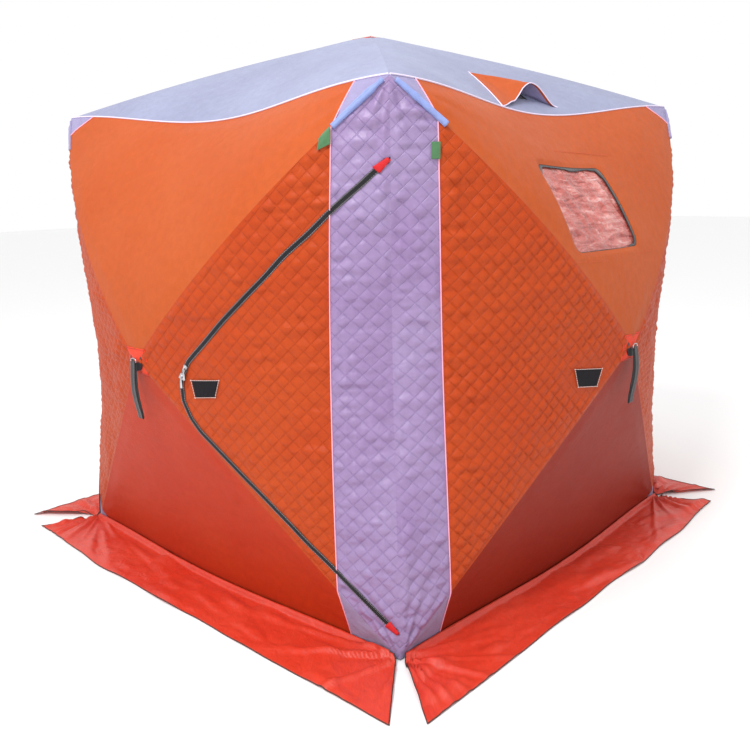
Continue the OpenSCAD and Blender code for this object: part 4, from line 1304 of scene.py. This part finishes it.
def windows():
    """Crinkled film behind each opening, a black band round it that is wide at its top and far side and thin
    elsewhere, and stitched hems.
    """
    films, tapes, stitches = [], [], []
    film_grid = cut(facet(TO_TOP, FINE_ROWS), lambda p, q: FILM_MARGIN - outside_window(p, q))

    def crinkles(p, q, u, v):
        loose = smooth((FILM_MARGIN - outside_window(p, q)) / 0.05)
        folds = crumple(u, v, 301, 0.0035, 0.016, -FILM_LEAN) + crumple(u, v, 302, 0.003, 0.05, -FILM_LEAN)
        return -0.006 + loose * folds
    for turn in (RIGHT, LEFT):
        films.append(cloth_part(film_grid, TO_TOP, turn=turn, relief=crinkles))
        s = np.linspace(0, 1, 181)
        at = window_line(s)
        away = unit(at - WINDOW_CENTRE)
        # The black band is thin all round and wide along the opening's top and far side
        top = smooth((at[:, 1] - WINDOW_Q[1] + 0.05) / 0.04)
        far = smooth((at[:, 0] - WINDOW_P[1] + 0.05) / 0.03)
        width = (0.0015 + 0.0085 * top * (0.6 + 0.4 * ripple(s * 26, 0, 303)) + 0.006 * far) / ROOF_HALF
        share = np.linspace(0, 1, 4)
        pq = at[:, None, :] - away[:, None, :] * (share[None, :, None] * 2 * width[:, None, None])
        pts = wall(pq[..., 0], pq[..., 1], 0.001)
        tapes.append(face_out(grid_part(turned(pts, turn)), turned(np.array([0, -1.0, 0.3]), turn)))
        for off in (0.008, 0.020):
            stitches.append(surface_row(lambda t, off=off: window_line(t, off), STITCH, turn=turn,
                                        lift=0.0008, s=np.linspace(0, 1, 400)))
        for q, rise in SEAMS_BY_WINDOW:
            stitches.append(surface_row(bent_line(q, rise), STITCH, turn=turn, lift=0.0045))
    made = piece("window_film_pair", films, FILM, "clear_film", stands_for=("window_films",))
    declare_cloth(films)
    made = piece("window_tape_pair", tapes, TAPE_BLACK, "black_webbing", stands_for=("window_trims",))
    thicken(made, 0.001)
    sewn_row("window_stitches", stitches, CLOTH_THREAD, THREAD_ORANGE, "orange_top_cloth")


# ---- Roof vent ----

def vent():
    """Hood over the roof's vent: flat on the left, arched on the right, open towards the edge."""
    s = np.linspace(0.0, 1, 28)
    v = np.linspace(-1, 1, 41)
    ss, vv = np.meshgrid(s, v, indexing="ij")
    tip_q, q0, q1 = -0.13, (HOOD_SHIFT - HOOD_W / 2) / ROOF_HALF, (HOOD_SHIFT + HOOD_W / 2) / ROOF_HALF
    p0, p1 = (HOOD_REACH - HOOD_L) / ROOF_HALF, HOOD_REACH / ROOF_HALF
    edge = np.where(vv < 0, mix(tip_q, q0, ss), mix(tip_q, q1, ss))
    middle = mix(tip_q, HOOD_SHIFT / ROOF_HALF, ss)
    q = mix(middle, edge, np.abs(vv))
    p = mix(p0, p1, ss) + 0.045 * ss * np.maximum(0, -vv) - 0.02 * ss * slack(vv)
    arch = slack(np.clip((vv - 0.28) / 0.72, -1, 1)) + 0.16 * slack((vv + 0.45) / 0.55)
    points = roof(p, q) + outward(roof, p, q) * 0.0015
    points[..., 2] += HOOD_H * ss ** 1.1 * arch + 0.0015 * ripple(ss * 14, vv * 9, 401) * ss * slack(vv)
    part = face_out(grid_part(points), np.array([0, 0, 1.0]))
    made = piece("vent_hood_cloth", [part], TOP_ORANGE, "orange_top_cloth", stands_for=("vent_hood",))
    thicken(made, CLOTH_T)
    lining = points.copy()
    lining[..., 2] -= 0.0028
    lining = lining[2:-1, 2:-2]
    part = face_out(grid_part(lining), np.array([0, 0, -1.0]))
    piece("vent_hood_lining", [part], CAP_LAVENDER, "lavender_cloth")
    rim = [points[1:, 0], points[-1], points[:, -1]]
    piping("vent_hood_piping", [path + [0, 0, 0.0006] for path in rim], 0.0021, PIPING_PALE, "roof_cloth")
    vent_grid = cut(facet(TO_FOOT, ROOF_ROWS), negative(outside_vent))
    part = cloth_part(vent_grid, TO_FOOT, roof, RIGHT, lift=-0.003)
    piece("vent_mesh", [part], MESH, "vent_mesh", stands_for=("vent_screen",))


# ---- Small sewn pieces ----

def spread(corners, n):
    """A grid of n by n points between four corners [p, q], and each point's shares s and t."""
    a, b, c, d = np.array(corners, float)
    s, t = np.meshgrid(np.linspace(0, 1, n), np.linspace(0, 1, n), indexing="ij")
    pq = mix(mix(a, b, s[..., None]), mix(d, c, s[..., None]), t[..., None])
    return pq[..., 0], pq[..., 1], s, t


def patch_part(corners, turn=FRONT, lift=0.0052, bulge=0.0012, n=14):
    """A four-cornered patch on a wall; corners as [p, q], counterclockwise from outside."""
    p, q, s, t = spread(corners, n)
    points = raised(wall, p, q, lift + bulge * slack(2 * s - 1) * slack(2 * t - 1))
    middle = outward(wall, *np.mean(np.array(corners, float), axis=0))
    return face_out(grid_part(turned(points, turn)), turned(middle, turn))


def outline_row(corners, pitch, inset, surface=wall, turn=FRONT, lift=0.0042):
    """Stitches round a patch, inset from its edge by a share; a negative share lies outside it."""
    corners = np.array(corners, float)
    centre = corners.mean(0)
    ring = centre + (corners - centre) * (1 - inset)
    rows = []
    for i in range(4):
        rows.append(surface_row(line_between(ring[i], ring[(i + 1) % 4]), pitch, surface, turn, lift))
    return rows


def wear_patches():
    """Black patches beside the zipper and on the right wall, with pale stitching."""
    flap_part = patch_part(FLAP_PATCH)
    flap = piece("door_flap_wear_patch", [flap_part], PATCH_BLACK, "black_webbing", body="door",
                 stands_for=("door_flap_patch",))
    thicken(flap, CLOTH_T)
    flap_rows = outline_row(FLAP_PATCH, STITCH, -0.05, lift=0.0050)
    flap_thread = sewn_row("door_flap_patch_stitches", flap_rows, PATCH_THREAD, THREAD_PALE,
                           "black_webbing", "door")
    side_part = patch_part(SIDE_PATCH, turn=RIGHT)
    side = piece("side_wear_patch", [side_part], PATCH_BLACK, "black_webbing", stands_for=("side_patch",))
    thicken(side, CLOTH_T)
    sewn_row("side_patch_stitches", outline_row(SIDE_PATCH, STITCH, -0.05, turn=RIGHT, lift=0.0050),
             PATCH_THREAD, THREAD_PALE, "black_webbing")
    return [flap, flap_thread]


def hub_patches():
    """Red cloth over each hub, with stitched edges."""
    parts, rows = [], []
    w, h = HUB_PATCH_W / 2 / ROOF_HALF, HUB_PATCH_H / 2 / UP_H
    shape = ((-w, -h), (w, -h), (w, h), (-w, h))
    for turn in range(4):
        parts.append(hub_patch_part(shape, wall, turn))
        rows += outline_row(shape, STITCH, 0.10, turn=turn, lift=0.0042)
    top = 0.062
    crown = ((-top, -top), (top, -top), (top, top), (-top, top))
    parts.append(hub_patch_part(crown, roof, FRONT))
    rows += outline_row(crown, STITCH, 0.10, roof, lift=0.0042)
    made = piece("hub_patch_set", parts, PATCH_RED, "patch_cloth", stands_for=("hub_patches",))
    thicken(made, 0.001)
    sewn_row("hub_patch_stitches", rows, HUB_THREAD, THREAD_RED, "patch_cloth")


def hub_patch_part(corners, surface, turn, n=28):
    """A patch over a hub, which follows the four facets."""
    p, q, _, _ = spread(corners, n)
    points = surface(p, q) + outward(surface, 0.0, 0.0) * PATCH_LIFT_SEEN
    return face_out(grid_part(turned(points, turn)), turned(outward(surface, 0.0, 0.0), turn))


RING = (0.0162, 0.0084)     # half width and half height of the ring that holds a strap


def pull_straps():
    """A loop of webbing that hangs from a ring at each wall hub."""
    width = 0.027
    straps, rings = [], []
    front = wall(0.0, 0.0)[1]
    drop = HUB_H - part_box("pull_straps")[0].z - 0.028
    for turn in range(4):
        run = np.linspace(0, 1, 60)
        bend = np.concatenate([run * drop, drop + 0.006 * np.sin(np.linspace(0, np.pi, 14)[1:-1]),
                               run[::-1] * drop])
        gap = 0.0035 + 0.004 * np.sin(np.pi * run)
        sway = 0.010 * np.sin(run * 4.2 + turn) * run
        outer = -0.006 - gap - sway
        inner = -0.004 - sway
        arc = np.linspace(0, np.pi, 14)[1:-1]
        middle = (outer[-1] + inner[-1]) / 2
        half = (inner[-1] - outer[-1]) / 2
        depth = np.concatenate([outer, middle - half * np.cos(arc), inner[::-1]])
        drift = np.concatenate([run, np.ones(12), run[::-1]])
        side = 0.012 * np.sin(drift * 2.6 + 0.6 * turn) * drift
        across = np.linspace(-0.5, 0.5, 7) * width
        points = np.zeros((len(bend), 7, 3))
        points[..., 0] = side[:, None] + across[None, :]
        points[..., 1] = front - 0.004 + depth[:, None] + 0.0012 * slack(across / width * 2)[None, :]
        points[..., 2] = HUB_H - bend[:, None]
        straps.append(face_out(grid_part(turned(points, turn)), turned(np.array([0, -1.0, 0]), turn)))
        t = np.linspace(0, 2 * np.pi, 33)
        loop = np.stack([RING[0] * np.cos(t), np.full(33, front - 0.010),
                         HUB_H + 0.002 + RING[1] * np.sin(t)], -1)
        rings.append(turned(loop, turn))
    made = piece("pull_strap_set", straps, STRAP_BLACK, "black_webbing", stands_for=("pull_straps",))
    thicken(made, CLOTH_T, offset=0)
    piping("pull_strap_rings", rings, 0.0018, METAL, "zipper_metal", sides=8)


def pull_tabs():
    """Folded tabs of green webbing in the band's seams."""
    front = ((0.798, 0.772), (0.838, 0.792), (0.840, 0.842), (0.806, 0.806))
    right = ((-0.888, 0.737), (-0.862, 0.737), (-0.862, 0.792), (-0.888, 0.792))
    lift = 0.009                # clear of the folds beside the seams
    parts = [patch_part(front, lift=lift, bulge=0.003), patch_part(right, RIGHT, lift, 0.002)]
    made = piece("pull_tab_pair", parts, GREEN, "green_webbing", stands_for=("pull_tabs",))
    thicken(made, CLOTH_T)


def pole_sleeves():
    """Sleeves of blue cloth over the pole ends at the upper corners."""
    door, others = [], []
    for turn in range(4):
        for side in (1, -1):
            u = np.linspace(0.845, 0.985, 30)
            bare = (turn, side) in ((FRONT, 1), (RIGHT, -1))
            path = raised(wall, side * u, u, np.full(len(u), 0.0046 if bare else 0.001))
            radius = (0.0095 if bare else 0.006) + 0.0012 * ripple(u * 60, 0, 500 + turn)
            part = tube_part(turned(path, turn), radius - 0.003 * smooth((u - 0.95) / 0.03))
            (door if bare else others).append(part)
    piece("pole_sleeve_door", door, SLEEVE, "sleeve_cloth", stands_for=("pole_sleeves",))
    piece("pole_sleeve_others", others, CAP_LAVENDER, "sleeve_cloth", stands_for=("pole_sleeves",))


# ---- Skirt ----

def skirt_part(turn):
    """One ground flap: it curves off the wall's foot and lies wrinkled on the ground."""
    columns, rows = 260, 34
    t = np.linspace(-1, 1, columns + 1)
    s = np.linspace(0, 1, rows + 1)
    ss, tt = np.meshgrid(s, t, indexing="ij")
    inner = wall(t * SKIRT_SLIT, -1.0)
    outer_x = BASE_HALF + SKIRT_W * 0.72
    outer_y = -BASE_HALF - SKIRT_W
    far = {FRONT: -1, RIGHT: 1}.get(turn, 0)
    edge = np.stack([t * outer_x - far * 0.085 * smooth((far * t - 0.55) / 0.45),
                     np.full(len(t), outer_y), np.zeros(len(t))], -1)
    edge[:, 1] += 0.035 * smooth((far * t - 0.4) / 0.6) * abs(far)
    edge[:, 1] += 0.012 * ripple(t * 5, 0, 600 + turn) * slack(t)
    points = mix(inner[None], edge[None], ss[..., None])
    points[..., 1] -= 0.002
    x, y = points[..., 0], points[..., 1]
    wrinkle = np.zeros_like(x)
    for side in (1, -1):
        corner = np.array([side * BASE_HALF, -BASE_HALF])
        dx, dy = x - corner[0], y - corner[1]
        distance = np.hypot(dx, dy)
        angle = np.arctan2(-dy, -side * dx)
        fade = np.exp(-distance / 0.42) * smooth(distance / 0.05)
        wrinkle += 0.030 * fade * np.maximum(0, ripple(angle * 11, distance / 0.5, 610 + 3 * turn + side))
    wrinkle += 0.017 * np.maximum(0, ripple(x / 0.16 + y / 0.3, y / 0.06 + x / 0.5, 620 + turn))
    wrinkle += 0.0030 * ripple(x / 0.05, y / 0.03, 630 + turn)
    lie = smooth(ss / 0.10)
    z = mix(0.026, 0.0022, lie) + np.abs(wrinkle) * smooth(ss / 0.06) * (1 - 0.6 * smooth((ss - 0.85) / 0.15))
    points[..., 2] = np.maximum(z, 0.0018)
    points[..., 1] -= 0.010 * (1 - lie)
    return points


def skirt():
    """Four flaps of tarpaulin, each with a dark bound edge."""
    edges = []
    for turn, side in enumerate(("front", "right", "back", "left")):
        points = skirt_part(turn)
        part = face_out(grid_part(turned(points, turn)), np.array([0, 0, 1.0]))
        made = piece("skirt_" + side, [part], SKIRT_CLOTH, "skirt_cloth", stands_for=("skirt_flaps",))
        thicken(made, 0.001)
        for path in (points[:, 0], points[-1], points[:, -1]):
            edges.append(turned(path + [0, 0, 0.0002], turn))
    piping("skirt_binding", edges, 0.0016, BINDING_DARK, "black_webbing")


# ---- Frame ----

def frame_finishes():
    """Finishes of the hard parts, whose shapes stay as they are."""
    for name, material in (("hubs", HUB_PLASTIC), ("corner_sockets", HUB_PLASTIC),
                           ("wall_poles", POLE), ("roof_poles", POLE)):
        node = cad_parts[name]
        node.data.materials.clear()
        node.data.materials.append(material)


# ---- Studio ----

def studio():
    floor_mesh = bpy.data.meshes.new("floor")
    size = 30.0
    floor_mesh.from_pydata([(-size, -size, -0.001), (size, -size, -0.001), (size, size, -0.001),
                            (-size, size, -0.001)], [], [(0, 1, 2, 3)])
    floor_material, tree, shader = new_material("studio_floor")
    shader.inputs["Base Color"].default_value = (0.93, 0.93, 0.93, 1)
    shader.inputs["Roughness"].default_value = 0.9
    floor_mesh.materials.append(floor_material)
    floor = bpy.data.objects.new("floor", floor_mesh)
    bpy.context.scene.collection.objects.link(floor)
    world = bpy.data.worlds.new("studio")
    world.use_nodes = True
    background = world.node_tree.nodes["Background"]
    background.inputs["Color"].default_value = (1, 1, 1, 1)
    background.inputs["Strength"].default_value = 1.0
    bpy.context.scene.world = world
    light("key", (1.6, -4.3, 5.4), (0, 0, 0.9), 1.4, 240)
    light("top", (0.8, -0.6, 5.4), (0, 0, 0.9), 3.0, 40)


def light(name, place, target, size, power):
    data = bpy.data.lights.new(name, "AREA")
    data.shape = "SQUARE"
    data.size = size
    data.energy = power
    made = bpy.data.objects.new(name, data)
    made.location = place
    made.rotation_mode = "QUATERNION"
    made.rotation_quaternion = (Vector(target) - Vector(place)).to_track_quat("-Z", "Y")
    bpy.context.scene.collection.objects.link(made)


CAMERA_PLACE = (2.523, -2.735, 1.501)
CAMERA_HEADING = 42.86      # degrees from +Y towards -X
CAMERA_PITCH = 12.96        # degrees below the horizon
CAMERA_ROLL = -1.27
CAMERA_LENS = 39.85


def camera():
    data = bpy.data.cameras.new("camera")
    data.lens = CAMERA_LENS
    data.sensor_width = 36
    made = bpy.data.objects.new("camera", data)
    bpy.context.scene.collection.objects.link(made)
    heading, pitch, roll = (math.radians(x) for x in (CAMERA_HEADING, CAMERA_PITCH, CAMERA_ROLL))
    ahead = Vector((-math.sin(heading) * math.cos(pitch), math.cos(heading) * math.cos(pitch),
                    -math.sin(pitch)))
    right = ahead.cross(Vector((0, 0, 1))).normalized()
    up = right.cross(ahead)
    across = right * math.cos(roll) + up * math.sin(roll)
    over = up * math.cos(roll) - right * math.sin(roll)
    turn = Matrix((across, over, -ahead)).transposed()
    made.matrix_world = Matrix.Translation(CAMERA_PLACE) @ turn.to_4x4()
    bpy.context.scene.camera = made


# ---- Make everything ----

camera()
studio()
bpy.context.scene.view_settings.view_transform = "Standard"
frame_finishes()
front_wall()
moving = door_side()
right_wall()
far_wall("back", BACK, False)
far_wall("left", LEFT, True)
roof_panels()
corner_caps()
foot_patches()
moving += seams()
moving += zipper()
zipper_sliders()
end_tabs()
windows()
vent()
moving += wear_patches()
hub_patches()
pull_straps()
pull_tabs()
pole_sleeves()
skirt()

# The door's pieces have their transforms baked into their meshes
for made in moving:
    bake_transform(made)
